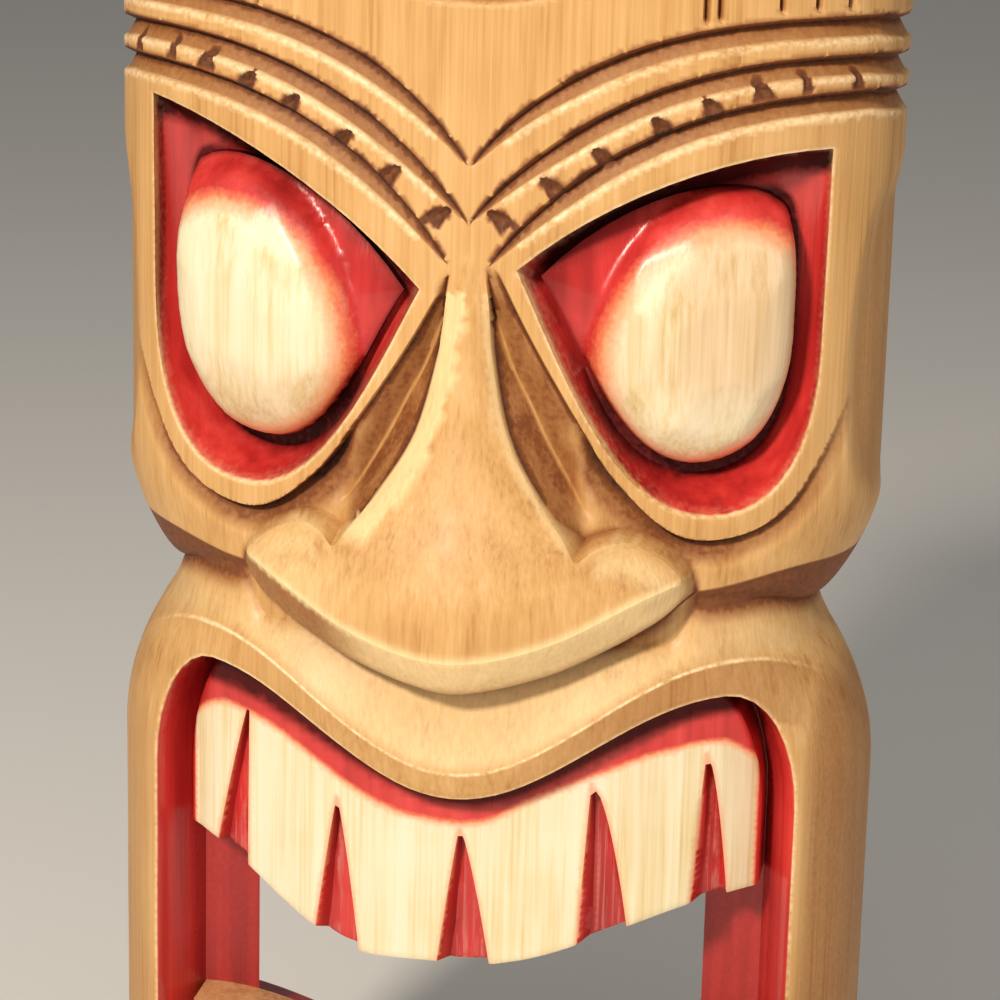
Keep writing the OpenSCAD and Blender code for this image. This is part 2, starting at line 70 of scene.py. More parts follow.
def side_cut(z):
    above = waist_cut * ramp(1 - (z - waist) / 44) ** 2
    below = waist_cut * ramp(1 - (waist - z) / 48) ** 2
    chin = chin_cut * ramp(1 - z / 34) ** 2
    return np.where(z > waist, above, below + chin)


def level_w(z):
    return half_w - side_cut(z)


def level_depth(z):
    crown = jaw_depth + (head_depth - jaw_depth) * ease((z - waist + 20) / 40)
    return crown * (1 - 0.25 * side_cut(z) / half_w)


def round_p(x, w, depth):
    t = ramp(np.abs(x) / w)
    return depth * (1 - t ** section_power) ** (1 / section_power)


# The bark side is unrolled to a flat sheet, u by z, so that the mesh is as fine at the sides as in front
turn = np.linspace(0, np.pi / 2, 600)
part_across = np.sin(turn) ** (2 / section_power)
part_forward = np.abs(np.cos(turn)) ** (2 / section_power)
steps_along = np.hypot(np.diff(half_w * part_across), np.diff(head_depth * part_forward))
unrolled = np.concatenate([[0], np.cumsum(steps_along)])
sheet_half = unrolled[-1]


def points_at(x, z):
    return np.stack(np.broadcast_arrays(x, z), 1)


def unroll(line):
    share = ramp(np.abs(line[:, 0]) / level_w(line[:, 1]))
    return points_at(np.sign(line[:, 0]) * np.interp(share, part_across, unrolled), line[:, 1])


def roll_up(u, z):
    across = np.interp(np.abs(u), unrolled, part_across)
    forward = np.interp(np.abs(u), unrolled, part_forward)
    return np.sign(u) * level_w(z) * across, level_depth(z) * forward


# Drawing of lines on the face, as lists of x and z
def bezier(*controls):
    t = np.linspace(0, 1, 13)[:, None]
    parts = []
    for i in range(0, len(controls) - 1, 3):
        a, b, c, d = (np.array(q, float) for q in controls[i:i + 4])
        parts.append(a * (1 - t) ** 3 + 3 * b * t * (1 - t) ** 2 + 3 * c * t * t * (1 - t) + d * t ** 3)
    return np.concatenate([parts[0]] + [part[1:] for part in parts[1:]])


def through(*points):
    q = np.array(points, float)
    q = np.concatenate([[2 * q[0] - q[1]], q, [2 * q[-1] - q[-2]]])
    t = np.linspace(0, 1, 7)[:-1, None]
    parts = []
    for a, b, c, d in zip(q, q[1:], q[2:], q[3:]):
        bend = (2 * a - 5 * b + 4 * c - d) * t * t + (3 * b - a - 3 * c + d) * t ** 3
        parts.append((2 * b + (c - a) * t + bend) / 2)
    return np.concatenate(parts + [q[-2:-1]])


def divided(line, step, closed=False):
    ends = np.roll(line, -1, 0) if closed else line[1:]
    parts = []
    for a, b in zip(line, ends):
        count = max(1, math.ceil(np.hypot(*(b - a)) / step))
        parts.append(a + (b - a) * np.linspace(0, 1, count + 1)[:-1, None])
    return np.concatenate(parts if closed else parts + [line[-1:]])


def moved(line, by, closed=False):
    """The line moved to its left by a distance, which may differ from point to point"""
    if closed:
        along = np.roll(line, -1, 0) - np.roll(line, 1, 0)
    else:
        along = np.gradient(line, axis=0)
    along = along / np.maximum(np.hypot(*along.T), 1e-9)[:, None]
    return line + points_at(-along[:, 1], along[:, 0]) * np.broadcast_to(by, len(line))[:, None]


def other_side(line):
    return line * [-1, 1]


def ringed(line):
    return np.concatenate([line, line[:1]])


def distance(q, line, closed=False):
    """Each point's distance from the line, the nearest place on it, how far along, and which side"""
    ends = np.roll(line, -1, 0) if closed else line[1:]
    lengths = np.hypot(*(ends - line[:len(ends)]).T)
    starts = np.concatenate([[0], np.cumsum(lengths)])
    best = np.full(len(q), 1e9)
    near = np.zeros((len(q), 2))
    along = np.zeros(len(q))
    left = np.zeros(len(q))
    for a, b, start, length in zip(line, ends, starts, lengths):
        ab = b - a
        t = ramp((q - a) @ ab / max(length * length, 1e-12))
        foot = a + t[:, None] * ab
        gap = q - foot
        far = np.hypot(gap[:, 0], gap[:, 1])
        closer = far < best
        best[closer] = far[closer]
        near[closer] = foot[closer]
        along[closer] = (start + t[closer] * length) / starts[-1]
        left[closer] = np.sign(ab[0] * gap[closer, 1] - ab[1] * gap[closer, 0])
    return best, near, along, left


def between(one, two):
    """Share of the way from the first line to the second, from the distances to both"""
    return one / np.maximum(one + two, 1e-9)


def inside(q, loop):
    result = np.zeros(len(q), bool)
    for (ax, az), (bx, bz) in zip(loop, np.roll(loop, -1, 0)):
        if az == bz:
            continue
        crosses = (q[:, 1] < az) != (q[:, 1] < bz)
        result ^= crosses & (q[:, 0] < ax + (q[:, 1] - az) * (bx - ax) / (bz - az))
    return result


def ripple(x, z, size, seed):
    """Smooth unevenness from -1 to 1, of a given size of wave"""
    cells = 97
    lattice = np.random.default_rng(seed).uniform(-1, 1, (cells, cells))
    a, b = x / size, z / size
    i, j = np.floor(a).astype(int), np.floor(b).astype(int)
    s, t = ease(a - i), ease(b - j)
    here, beyond = i % cells, (i + 1) % cells
    low = lattice[here, j % cells] * (1 - s) + lattice[beyond, j % cells] * s
    high = lattice[here, (j + 1) % cells] * (1 - s) + lattice[beyond, (j + 1) % cells] * s
    return low * (1 - t) + high * t


def filled(loops, creases, coarse, fine, reach):
    """Points and triangles inside the first loop and outside the others, finer near loops and creases"""
    fixed = []
    edges = []
    outlines = []
    for line, closed in [(loop, True) for loop in loops] + [(crease, False) for crease in creases]:
        line = divided(line, fine, closed)
        first = len(fixed)
        fixed.extend(line.tolist())
        if closed:
            outlines.append(list(range(first, len(fixed))))
        else:
            edges.extend((first + i, first + i + 1) for i in range(len(line) - 1))
    tree = KDTree(len(fixed))
    for i, (a, b) in enumerate(fixed):
        tree.insert((a, b, 0), i)
    tree.balance()
    low, high = loops[0].min(0), loops[0].max(0)
    free = []
    for step, nearest, furthest in ((fine, 0.62 * fine, reach), (coarse, reach, 1e9)):
        rows = np.arange(low[1], high[1], step * 0.866)
        for k, b in enumerate(rows):
            for a in np.arange(low[0] + step * (k % 2) / 2, high[0], step):
                gap = tree.find((a, b, 0))[2]
                if nearest < gap <= furthest:
                    free.append((a, b))
    free = np.array(free)
    keep = inside(free, loops[0])
    for loop in loops[1:]:
        keep &= ~inside(free, loop)
    places = [Vector(q) for q in fixed] + [Vector(q) for q in free[keep].tolist()]
    points, _, faces, _, _, origins = delaunay_2d_cdt(places, edges, outlines, 0, 1e-7, True)
    points = np.array([tuple(q) for q in points])
    faces = np.array([tuple(f) for f, origin in zip(faces, origins) if origin == [0]])
    used = np.unique(faces)
    renumber = np.zeros(len(points), int)
    renumber[used] = np.arange(len(used))
    return points[used], renumber[faces]


def open_loops(faces):
    """Loops of points round the open edges of a sheet of triangles, in the order of its faces"""
    directed = np.concatenate([faces[:, [0, 1]], faces[:, [1, 2]], faces[:, [2, 0]]])
    known = set(map(tuple, directed.tolist()))
    following = {a: b for a, b in known if (b, a) not in known}
    loops = []
    while following:
        first, after = following.popitem()
        loop = [first]
        while after != first:
            loop.append(after)
            after = following.pop(after)
        loops.append(np.array(loop))
    return loops


# Mouth: the rim, the foot of its walls on the floor, and the hole cut through between the teeth
mouth_half_w = 92
mouth_floor = 24
corner_w = 20
upper_corner_h = 36
lower_corner_h = 16
arch_half_w = mouth_half_w - corner_w
arch_top = 178.8
arch_end = 208
sill_middle = 36
sill_end = 46
wall_slope = 9
hole_half_w = 66
hole_behind_teeth = 6


def mouth_top(x):
    return arch_top + (arch_end - arch_top) * ease(np.abs(x) / arch_half_w)


def mouth_bottom(x):
    return sill_middle + (sill_end - sill_middle) * ease(np.abs(x) / arch_half_w)


def upper_tips(x):
    return 126 + np.where(x < 0, 27 * ease((-x - 22) / 62), 22 * ease(x / 84))


def lower_tips(x):
    return 78 + 18.5 * ease(np.abs(x) / 80)


def sloped_in(line):
    """The line at the foot of the side walls, which lean inwards"""
    lean_in = np.sign(line[:, 0]) * wall_slope * ease((np.abs(line[:, 0]) - 60) / 32)
    return points_at(line[:, 0] - lean_in, line[:, 1])


bend = np.linspace(0, np.pi / 2, 9)
run = np.arange(0, arch_half_w, 4.0)
lower_corner = points_at(
    mouth_half_w - corner_w * (1 - np.sin(bend)), sill_end + lower_corner_h * (1 - np.cos(bend)))
upper_corner = points_at(
    mouth_half_w - corner_w * (1 - np.cos(bend)), arch_end - upper_corner_h * (1 - np.sin(bend)))
mouth_down = np.concatenate([points_at(run, mouth_bottom(run)), lower_corner])
mouth_up = np.concatenate([upper_corner, points_at(run[::-1], mouth_top(run[::-1]))])
mouth_right = np.concatenate([mouth_down, mouth_up])
mouth_rim = np.concatenate([mouth_right, other_side(mouth_right[::-1])[1:-1]])
mouth_foot = moved(sloped_in(mouth_rim), 0.6, closed=True)
mouth_paint = mouth_rim + 0.06 * (mouth_foot - mouth_rim)
run = np.linspace(-hole_half_w, hole_half_w, 34)
mouth_hole = np.concatenate([
    points_at(run, lower_tips(run) - hole_behind_teeth),
    points_at(-run, upper_tips(run) + hole_behind_teeth)])


def upper_crest(x):
    fall = 0.018 * np.clip(np.abs(x) - 75, 0, 99) ** 2
    return 186.5 + 30.5 * ease(np.abs(x) / arch_half_w) - fall


def lower_crest(x):
    return mouth_bottom(x) - 9


def cheek_edge(x):
    return 237.5 + 5 * ease((np.abs(x) - 60) / 35)


# Nose: half of its edge (the bridge, the wing and the under side) and the crease above its lower edge
nose_bridge = through(
    (0, 332), (3, 330), (5.5, 318), (7.5, 300), (12.5, 280), (21, 265), (29, 254.5), (33, 249))
nose_wing = through((33, 249), (37, 252), (44, 253), (53, 249.5), (59.5, 243.5), (61.5, 238))
nose_under = through(
    (61.5, 238), (58, 234.5), (51, 229.8), (42, 224.5), (29, 218.2), (16, 214), (6, 211.8), (0, 211.3))
nose_right = np.concatenate([nose_bridge, nose_wing[1:], nose_under[1:]])
nose_edge = np.concatenate([other_side(nose_right), nose_right[::-1][1:-1]])
nose_crease = through((59, 242), (50, 239), (41, 234.5), (30, 229), (18, 225), (8, 223), (0, 222.5))
torn_line = through(
    (3.5, 321), (9, 305), (12.5, 296), (16.7, 288), (21, 279), (26, 270), (31, 262), (36, 256))

# Sections of the nose by height over the waist: half its width, its depth at the side and along the ridge
nose_rise = np.array([-12, -9, -5, 1, 8.5, 15, 22, 28, 30, 40, 57, 77, 95, 109])
nose_spread = np.array([6, 16, 29, 41, 53, 61.5, 60, 54, 47, 31, 15, 8.5, 6, 3.5])
nose_side_p = np.array([87, 86, 83, 79, 75, 70.5, 69.5, 71, 72, 72, 71, 69, 67.5, 65])
nose_ridge_p = np.array([88, 90, 90.5, 90.5, 90, 89, 87, 85, 84, 80, 75, 71, 68.5, 66.5])
skirt_rise = np.array([-12, 5, 15, 24, 30, 36, 45, 60, 80, 95, 109])
skirt_w = np.array([0.8, 0.8, 1.4, 2.2, 2, 1, 0.7, 0.7, 0.7, 0.7, 0.7])


def nose_p(x, z):
    spread = np.interp(z - waist, nose_rise, nose_spread)
    side = np.interp(z - waist, nose_rise, nose_side_p)
    ridge = np.interp(z - waist, nose_rise, nose_ridge_p)
    return side + (ridge - side) * (1 - ramp(np.abs(x) / spread) ** 1.6)


# Sockets and the gouged trough that frames each of them, drawn for the right side
socket_rim = bezier(
    (93, 360.5), (68, 359), (35, 343), (13, 321.5), (22, 304), (38, 262), (60, 259.5),
    (80, 257), (92, 272), (92.5, 305), (92.7, 323), (92.9, 343), (93, 360.5))[:-1]
upper_rim = socket_rim[:13]
eyeball_edge = bezier(
    (80, 344), (68, 353.5), (38, 342.5), (18.5, 319.5), (29, 304), (38, 272), (57, 271),
    (74, 270.5), (83.5, 286), (83.5, 312), (83.5, 324), (84, 341), (80, 344))[:-1]
eye_x = 61.0
eye_z = 306.0
eye_place = np.array([eye_x, eye_z])
eye_turn = math.radians(19)
eye_seat = float(round_p(eye_x, half_w, head_depth)) - 14
moat_depth = 4
moat_w = 1.2 + 2.4 * ease((eye_z - eyeball_edge[:, 1:]) / 30)
socket_floor = eye_place + (eyeball_edge - eye_place) * (1 + moat_w / 33)
socket_paint = moved(socket_rim, 0.7, closed=True)


def socket_lean(x):
    """The left socket lies a little steeper than the right one"""
    return 0.08 * (x - 54)


def slanted(line, side):
    return points_at(line[:, 0], line[:, 1] - side * socket_lean(line[:, 0]))


band = through(
    (8.5, 320.5), (14.4, 309.2), (20.7, 298.3), (26.5, 289), (31.5, 281), (38, 271), (46, 262.3),
    (53.5, 256), (61, 253), (70, 253.5), (79, 257), (86.5, 264), (93, 275), (99, 290))
band_wall = 0.8
band_share = np.linspace(0, 1, 6)
valley_w = np.array([5, 12, 16, 9, 7, 5])
valley_depth = np.array([1.5, 4.5, 6, 4, 2.8, 0.8])
temple = bezier((109.5, 354), (102, 340), (99.5, 322), (99, 300), (99, 276), (101, 262), (108, 252))

# Brow: three V grooves on each side, chips between the lower two, an arc and upright flutes in the hair
brow_grooves = [
    np.concatenate([bezier(*controls), [[half_w, controls[3][1] - 2]]])
    for controls in (
        ((1, 352.5), (22, 378), (52, 393), (104, 390.5)),
        ((1, 337.5), (24, 362.8), (54, 382.8), (102, 380.5)),
        ((6, 326), (22, 346), (52, 373), (103, 371)))]
groove_w = 3.1
chip_spots = (
    (9, 338), (22.5, 348), (35.5, 356.5), (50, 365), (62.7, 370), (75, 374.3), (86, 376), (98.6, 375.8))
chip_shape = np.array([
    (-2.3, -4), (2.3, -4), (2, -1.5), (1.2, 0.8), (-0.4, 3.4), (-1.6, 3.9), (-2.3, 2.8), (-1.9, 0)])
flute_places = (60, 63.5, 79, 88, 96)
flute_half = 1.1
arc_z = 482
arc_inner = 84
arc_deepest = 86.6
arc_outer = 88
arc_turn = np.radians(np.linspace(-41, 41, 40))


def brow_sag(x):
    """The right brow hangs a little lower than the left one"""
    return 1.6 * ease(x / 30)


def sagged(line):
    return points_at(line[:, 0], line[:, 1] - brow_sag(line[:, 0]))


def groove_half(along):
    return groove_w * np.clip(along / 0.3, 0.01, 1) ** 0.6


def flute_foot(x):
    return np.interp(x, brow_grooves[0][:, 0], brow_grooves[0][:, 1]) + 2.4


def arc_line(radius):
    return points_at(radius * np.sin(arc_turn), arc_z - radius * np.cos(arc_turn))


chips = []
low_groove = brow_grooves[2]
groove_slope = np.gradient(low_groove[:, 1], low_groove[:, 0])
for x, z in chip_spots:
    lean = math.atan(np.interp(x, low_groove[:, 0], groove_slope)) * 0.8
    narrow = 0.45 if x > 80 else 1
    flat = 0.78 - 0.2 * float(ease((x - 20) / 40))
    spin = np.array([[math.cos(lean), math.sin(lean)], [-math.sin(lean), math.cos(lean)]])
    chips.append((chip_shape * [narrow, flat] + [0, 1.3]) @ spin + [x, z])

# All the lines that the mesh of the face follows, on the right side and on the left
far = np.linspace(0, 1, len(band))
width = np.interp(far, band_share, valley_w)
eye_lines = [ringed(line) for line in (
    socket_rim, moved(socket_rim, -0.9, closed=True), socket_paint, socket_floor)]
eye_lines += [band, moved(band, 0.6), moved(band, -band_wall)]
eye_lines += [moved(band, -band_wall - part * (width - band_wall)) for part in (0.3, 0.6, 1)]
brow_lines = [ringed(line) for line in chips]
for line in brow_grooves:
    far = np.concatenate([[0], np.cumsum(np.hypot(*np.diff(line, axis=0).T))])
    half = groove_half(far / far[-1])
    brow_lines += [moved(line, part * half) for part in (1, 0.5, -0.7, -1)]
    brow_lines.append(moved(line, -half - 0.7))
right_lines = [temple]
for place in flute_places:
    right_lines += [
        points_at(place + part, np.array([flute_foot(place), block_h]))
        for part in (-flute_half, 0, flute_half)]
right_lines.append(np.array([[40, waist], [float(level_w(waist)), waist]]))
for edge_line, start, end, count, steps in (
        (cheek_edge, 45, 106, 40, (-0.8, 0)),
        (upper_crest, 0, 104, 54, (-0.7, 0, 0.7)),
        (lower_crest, 0, 90, 30, (-0.7, 0, 0.7))):
    run = np.linspace(start, end, count)
    right_lines += [points_at(run, edge_line(run) + step) for step in steps]
right_lines += [nose_crease, torn_line, moved(torn_line, 0.7), moved(torn_line, -0.7)]
face_lines = []
for line in right_lines:
    line = np.clip(line, 0, [half_w, block_h])
    face_lines += [line, other_side(line)]
for line in eye_lines:
    face_lines += [slanted(line, 1), other_side(slanted(line, -1))]
for line in brow_lines:
    line = points_at(np.clip(line[:, 0], 0, half_w), line[:, 1])
    face_lines += [sagged(line), other_side(line)]
skirt = np.interp(nose_edge[:, 1] - waist, skirt_rise, skirt_w)
face_lines += [ringed(line) for line in (
    mouth_rim, moved(mouth_rim, -1, closed=True), mouth_paint, mouth_foot,
    nose_edge, moved(nose_edge, -skirt, closed=True), moved(nose_edge, 0.8, closed=True))]
face_lines += [arc_line(radius) for radius in (arc_inner, arc_deepest, arc_outer)]
sheet_lines = [unroll(divided(line, 1.6)) for line in face_lines]

edge_rows = np.arange(0, block_h, 2.5)
edge_columns = np.arange(-sheet_half, sheet_half, 2.5)
sheet_edge = np.concatenate([
    points_at(edge_columns, 0), points_at(sheet_half, edge_rows),
    points_at(-edge_columns, block_h), points_at(-sheet_half, block_h - edge_rows)])
hole_sheet = unroll(divided(mouth_hole, 1.6, closed=True))
sheet_points, face_triangles = filled([sheet_edge, hole_sheet], sheet_lines, coarse=3, fine=1.35, reach=4)

# The cuts of the face. Points nearer to a drawn line than on_line count as lying on it.
on_line = 0.05
lip_roll = 5.5
nose_wing_end = 58
bevel_drop = 6
wing_drop = 4.6
bridge_drop = 1.6
nose_rounding = 0.5
groove_depth = 3.5


def lay(mark, amount, where=...):
    """Lays stain, painted shade, wash, wear or a painted highlight on points of the face, where it is more
    than what is there
    """
    mark[where] = np.maximum(mark[where], amount)


def hollow_at(spot, rim, foot, touch=on_line):
    """Distances from the rim and the foot of a hollow's walls, and which points are within each"""
    rim_gap = distance(spot, rim, closed=True)[0]
    foot_gap = distance(spot, foot, closed=True)[0]
    in_rim = inside(spot, rim) & (rim_gap > touch)
    in_foot = inside(spot, foot) | (foot_gap < touch)
    return rim_gap, foot_gap, in_rim, in_foot


def roll_lips(face):
    """Lips rolled to a crest, with painted highlight on and above it, painted shade below it, brown posts
    by the mouth
    """
    x, z, ax = face.x, face.z, face.ax
    over = z - upper_crest(ax)
    from_crests = np.abs([over, z - lower_crest(ax)])
    face.p *= 1 + lip_roll * np.exp(-(from_crests / 13) ** 1.2).sum(0) / level_depth(z)
    face.edge[(np.abs(over) < on_line) & (ax < 99)] = 1
    # A pale line along the crest and a pale facet above it, both painted highlight
    lay(face.wear, 1.5 * (np.abs(over) < 2 * on_line) * ramp((100 - ax) / 30))
    lay(face.cream, 0.42 * ramp(over / 3) * ramp((waist - 1 - z) / 3) * ramp((96 - ax) / 14))
    # Painted shade on the lip below the crest, darker to the right, and brown on the posts beside the
    # mouth, darker on the right as painted shade
    browner = 0.06 + 0.18 * ease((x - 5) / 45)
    lay(face.stain, browner * (over < -0.5) * (over > -16) * ramp((98 - ax) / 10))
    post = ease((ax - mouth_half_w) / 6) * ease((z - 30) / 30) * ease((216 - z) / 16)
    lay(face.stain, np.where(x > 0, 0.34, 0.14) * post)


def leave_knife_marks(face):
    """Unevenness left by the knife"""
    broad = ripple(face.x, face.z, size=31, seed=1)
    narrow = ripple(face.x, face.z, size=11, seed=2)
    face.p += face.out_p * (0.3 * broad + 0.16 * narrow)


def pare_cheeks(face):
    """Under side of the cheeks, pared hollow below a knife edge, with painted shade on it and in the crease
    of the waist
    """
    z, ax = face.z, face.ax
    below = cheek_edge(ax) - z
    high = cheek_edge(ax) - waist + 0.5
    under = ramp(below / 0.8) * (z > waist - 0.1) * ease((ax - nose_wing_end) / 6)
    hollow = (0.5 + 0.35 * np.maximum(below, 0)) * ramp(1 - below / high)
    face.p -= face.out_p * under * hollow
    # The pared under side is darkened as painted shade
    lay(face.stain, 0.65 * under)
    face.edge[(np.abs(below) < on_line) & (ax > nose_wing_end) & (ax < 107)] = 1
    # A dark line painted along the crease of the waist as shade
    lay(face.stain, 0.7 * np.exp(-((z - waist) / 1.3) ** 2) * ease((ax - nose_wing_end) / 10))


def gouge_valleys(face):
    """Valley under each socket's band: steep wall, floor stained and painted with shade, long slope to the
    cheek
    """
    near = np.flatnonzero((face.z > 228) & (face.z < 334) & (face.ax < 109))
    gap, _, along, left = distance(face.eye_spot[near], band)
    outside = (left < 0) & (gap > on_line)
    width = np.interp(along, band_share, valley_w)
    depth = np.interp(along, band_share, valley_depth) * ease((face.ax[near] - 27) / 10)
    rise = ramp(1 - (gap - band_wall) / (width - band_wall)) ** 1.2
    slope = np.where(gap < band_wall, gap / band_wall, rise) * outside
    face.p[near] -= depth * slope
    # Brown stain on the floor and slope, darkest next to the band's wall, partly as painted shade
    furrow = ripple(along * 14, gap * 0.45, size=1, seed=21)
    shade = np.interp(gap / width, [0, 0.12, 0.3, 0.65, 1], [0.92, 0.85, 0.55, 0.3, 0])
    shade = shade + 0.16 * furrow * (slope > 0.1)
    lay(face.stain, shade * ramp(depth / 4) ** 0.7 * outside, near)
    lay(face.stain, 0.5 * ramp(1 - gap / 0.6) * (left >= 0) * ramp(depth / 2), near)
    face.edge[near[(gap < on_line) & (face.z[near] < 318)]] = 1


def nose_top(spot, beveled):
    """Depth of the nose, with the bevel along its lower edge and the fall to the end of each wing"""
    spot = np.abs(spot)
    from_edge = between(distance(spot, nose_under)[0], distance(spot, nose_crease)[0])
    to_wing_edge = distance(spot, nose_wing[1:-1])[0]
    fall = wing_drop * ramp(1 - to_wing_edge / 11) ** 1.2 * ease((spot[:, 0] - 34) / 14)
    return nose_p(*spot.T) - bevel_drop * (1 - from_edge) * beveled - fall


def carve_nose(face):
    """The nose standing out of the round, with a narrow skirt down to the face"""
    near = np.flatnonzero((face.ax < 74) & (face.z > 200) & (face.z < 340))
    spot = points_at(face.x, face.z)[near]
    gap, foot, _, _ = distance(spot, nose_edge, closed=True)
    within = inside(spot, nose_edge) | (gap < on_line)
    crease_z = np.interp(np.abs(spot[:, 0]), nose_crease[::-1, 0], nose_crease[::-1, 1])
    under_crease = spot[:, 1] < crease_z + on_line
    tall = nose_top(foot, foot[:, 1] < 240) - nose_rounding - bridge_drop * (foot[:, 1] > 253)
    top = nose_top(spot, under_crease) - nose_rounding * ramp(1 - gap / 0.8)
    top = top - bridge_drop * ramp(1 - gap / 5.5) * ease((spot[:, 1] - 249) / 8)
    away = gap / np.interp(foot[:, 1] - waist, skirt_rise, skirt_w)
    was = face.p[near]
    beside = was + (tall - was) * ramp(1 - away) ** 1.2
    face.p[near] = np.maximum(was, np.where(within, top, beside))
    on_nose = within & (top > was - 0.5)
    face.stain[near] *= np.where(on_nose, 0, ramp(away))
    face.edge[near[on_nose & (gap < on_line)]] = 1
    return SimpleNamespace(
        near=near, spot=spot, gap=gap, foot=foot, within=within, under_crease=under_crease, tall=tall,
        away=away, was=was, on_nose=on_nose)


def cut_channels(face, nose):
    """Channel between the bridge and the band of the socket: two stained slopes that meet in a torn line"""
    x, z = np.abs(nose.spot).T
    torn, _, along, up_side = distance(np.abs(nose.spot), torn_line)
    to_band, _, _, left = distance(face.eye_spot[nose.near], band)
    low_end = ease((z - 251) / 8)
    beside_band = (left < 0) & (to_band > on_line) & ~nose.within
    weight = beside_band * low_end * ease((327 - z) / 6) * (1 - ease((x - 27) / 10))
    deep = 1.2 + 4.3 * low_end * ease((325 - z) / 16)
    floor_p = nose.was - deep
    bridge_side = floor_p + (nose.tall - 1 - floor_p) * between(torn, nose.gap)
    band_side = nose.was - band_wall - (deep - band_wall) * between(to_band, torn)
    channel = np.where(up_side > 0, band_side, bridge_side)
    face.p[nose.near] += (channel - face.p[nose.near]) * weight
    # Brown stain on both slopes, a little darker on the bridge side, pale along the torn line, and dark
    # along both edges, partly as painted shade
    furrow = ripple(along * 9, np.minimum(nose.gap, 30) * 0.4, size=1, seed=22)
    shade = 0.42 + 0.12 * furrow + 0.1 * (up_side < 0)
    shade = np.where(torn < 0.5, 0.1, shade)
    shade = np.where(np.minimum(nose.gap, to_band) < 0.9, 0.85, shade)
    lay(face.stain, shade * weight, nose.near)
    face.edge[nose.near[(torn < on_line) & (weight > 0.2)]] = 1


def tint_nose(face, nose):
    """Painted shadow round the nose's foot, cream wash below its crease, painted highlight on the crease
    and lit sides
    """
    x, z = nose.spot.T
    near, gap, foot_z = nose.near, nose.gap, nose.foot[:, 1]
    crease = distance(np.abs(nose.spot), nose_crease)[0]
    drop = distance(np.abs(nose.spot), nose_under)[0]
    wing = distance(np.abs(nose.spot), nose_wing[1:-1])[0]
    face.edge[near[nose.on_nose & (crease < on_line)]] = 1
    face.edge[near[nose.within & (drop < on_line)]] = 1

    # A dark line painted along the foot of the nose, weaker on the left, and a painted shadow under its
    # lower edge
    weakest = np.where(x < 0, 0.12, 0.55)
    line = ramp(np.minimum(nose.away, 2 - nose.away)) * ~nose.within
    lay(face.stain, 0.9 * line * np.clip((243 - foot_z) / 6, weakest, 1) * (foot_z < 262), near)
    shadow = ramp((5.4 - gap) / 3.4) * ramp(nose.away) * ~nose.within * ease((236 - foot_z) / 6)
    lay(face.stain, 0.8 * shadow, near)

    # Cream along the crease is a painted highlight; below it a cream wash, thinner to the left; the lit
    # wing, the lit sides and the tops of the wings get painted highlights
    leftwards = ease((-x - 14) / 26)
    pale = np.maximum(0.95 * np.exp(-(crease / 1.6) ** 2), 0.7 * nose.under_crease)
    pale = pale * np.where(nose.under_crease & (crease > 1.2), 1 - leftwards, 1)
    face.cream[near] = np.where(nose.on_nose, pale * np.clip(gap / 1.2, 0.3, 1), face.cream[near])
    lit_wing = 0.4 * ease((-x - 18) / 26) * ramp((252 - z) / 10) * ~nose.under_crease
    lit_side = np.where(x < 0, 0.75 * (gap < 5.5), 0.5 * (gap < 1.2)) * ease((z - 249) / 6) * (z < 318)
    lit_top = 0.5 * np.exp(-((wing - 4.5) / 3) ** 2) * (np.abs(x) > 38) * (z > 240)
    for lit in (lit_wing, lit_side, lit_top):
        lay(face.cream, lit * nose.on_nose, near)
    # Brown along the lower edge, and over the left of the bevel, partly as painted shade
    low = ramp(ramp(1 - drop / 2.5) + nose.under_crease * leftwards)
    lay(face.stain, 0.4 * low * nose.on_nose, near)


def hollow_sockets(face):
    """Sockets: walls from the rim to the turned floor, red, with painted shade in the moat and under the
    brow
    """
    near = np.flatnonzero((face.z > 246) & (face.z < 374) & (face.ax > 5) & (face.ax < 100))
    spot = face.eye_spot[near]
    x, z = spot.T
    rim_gap, floor_gap, in_rim, in_floor = hollow_at(spot, socket_rim, socket_floor)
    steep = 0.22 + 0.6 * ease((325 - z) / 62)
    slope = np.where(in_floor, 1, between(rim_gap, floor_gap) ** steep)
    floor_p = eye_seat - moat_depth - (x - eye_x) * math.tan(eye_turn)
    was = face.p[near]
    rounded = ramp(1 - rim_gap / 0.9)
    face.p[near] = np.where(in_rim, was + (floor_p - was) * slope, was - 0.35 * rounded)
    face.red[near] = ramp(rim_gap / 0.7) * in_rim
    # Painted shade in the moat round the eye and under the upper rim
    under_rim = distance(spot, upper_rim)[0]
    moat = np.where(in_floor, 1, ramp(1 - floor_gap / 1.5))
    moat = moat * ease((x - 24) / 12) * ease((under_rim - 5) / 8)
    shaded = ramp((9 - under_rim) / 4) * ease((x - 10) / 12)
    face.stain[near] = np.where(in_rim, np.maximum(0.85 * moat, shaded), face.stain[near])
    # A pale line on the rounded rim, partly wear and partly painted highlight
    lay(face.wear, 0.9 * rounded, near)


def hollow_mouth(face):
    """Mouth: walls down to the floor, painted red, with painted shade at the foot of the walls"""
    near = np.flatnonzero((face.z > 25) & (face.z < 215) & (face.ax < 97))
    spot = points_at(face.x, face.z)[near]
    rim_gap, foot_gap, in_rim, in_foot = hollow_at(spot, mouth_rim, mouth_foot)
    slope = np.where(in_foot, 1, between(rim_gap, foot_gap))
    was = face.p[near]
    rounded = ramp(1 - rim_gap)
    face.p[near] = np.where(in_rim, was + (mouth_floor - was) * slope, was - 0.4 * rounded)
    face.red[near] = ramp(slope / 0.05) * in_rim
    # Painted shade darkens the red at the foot of the walls and on the floor
    face.stain[near] = np.where(in_rim, 0.35 * ease((slope - 0.75) / 0.25), face.stain[near])
    lay(face.wear, 0.8 * rounded * (slope < 0.05), near)


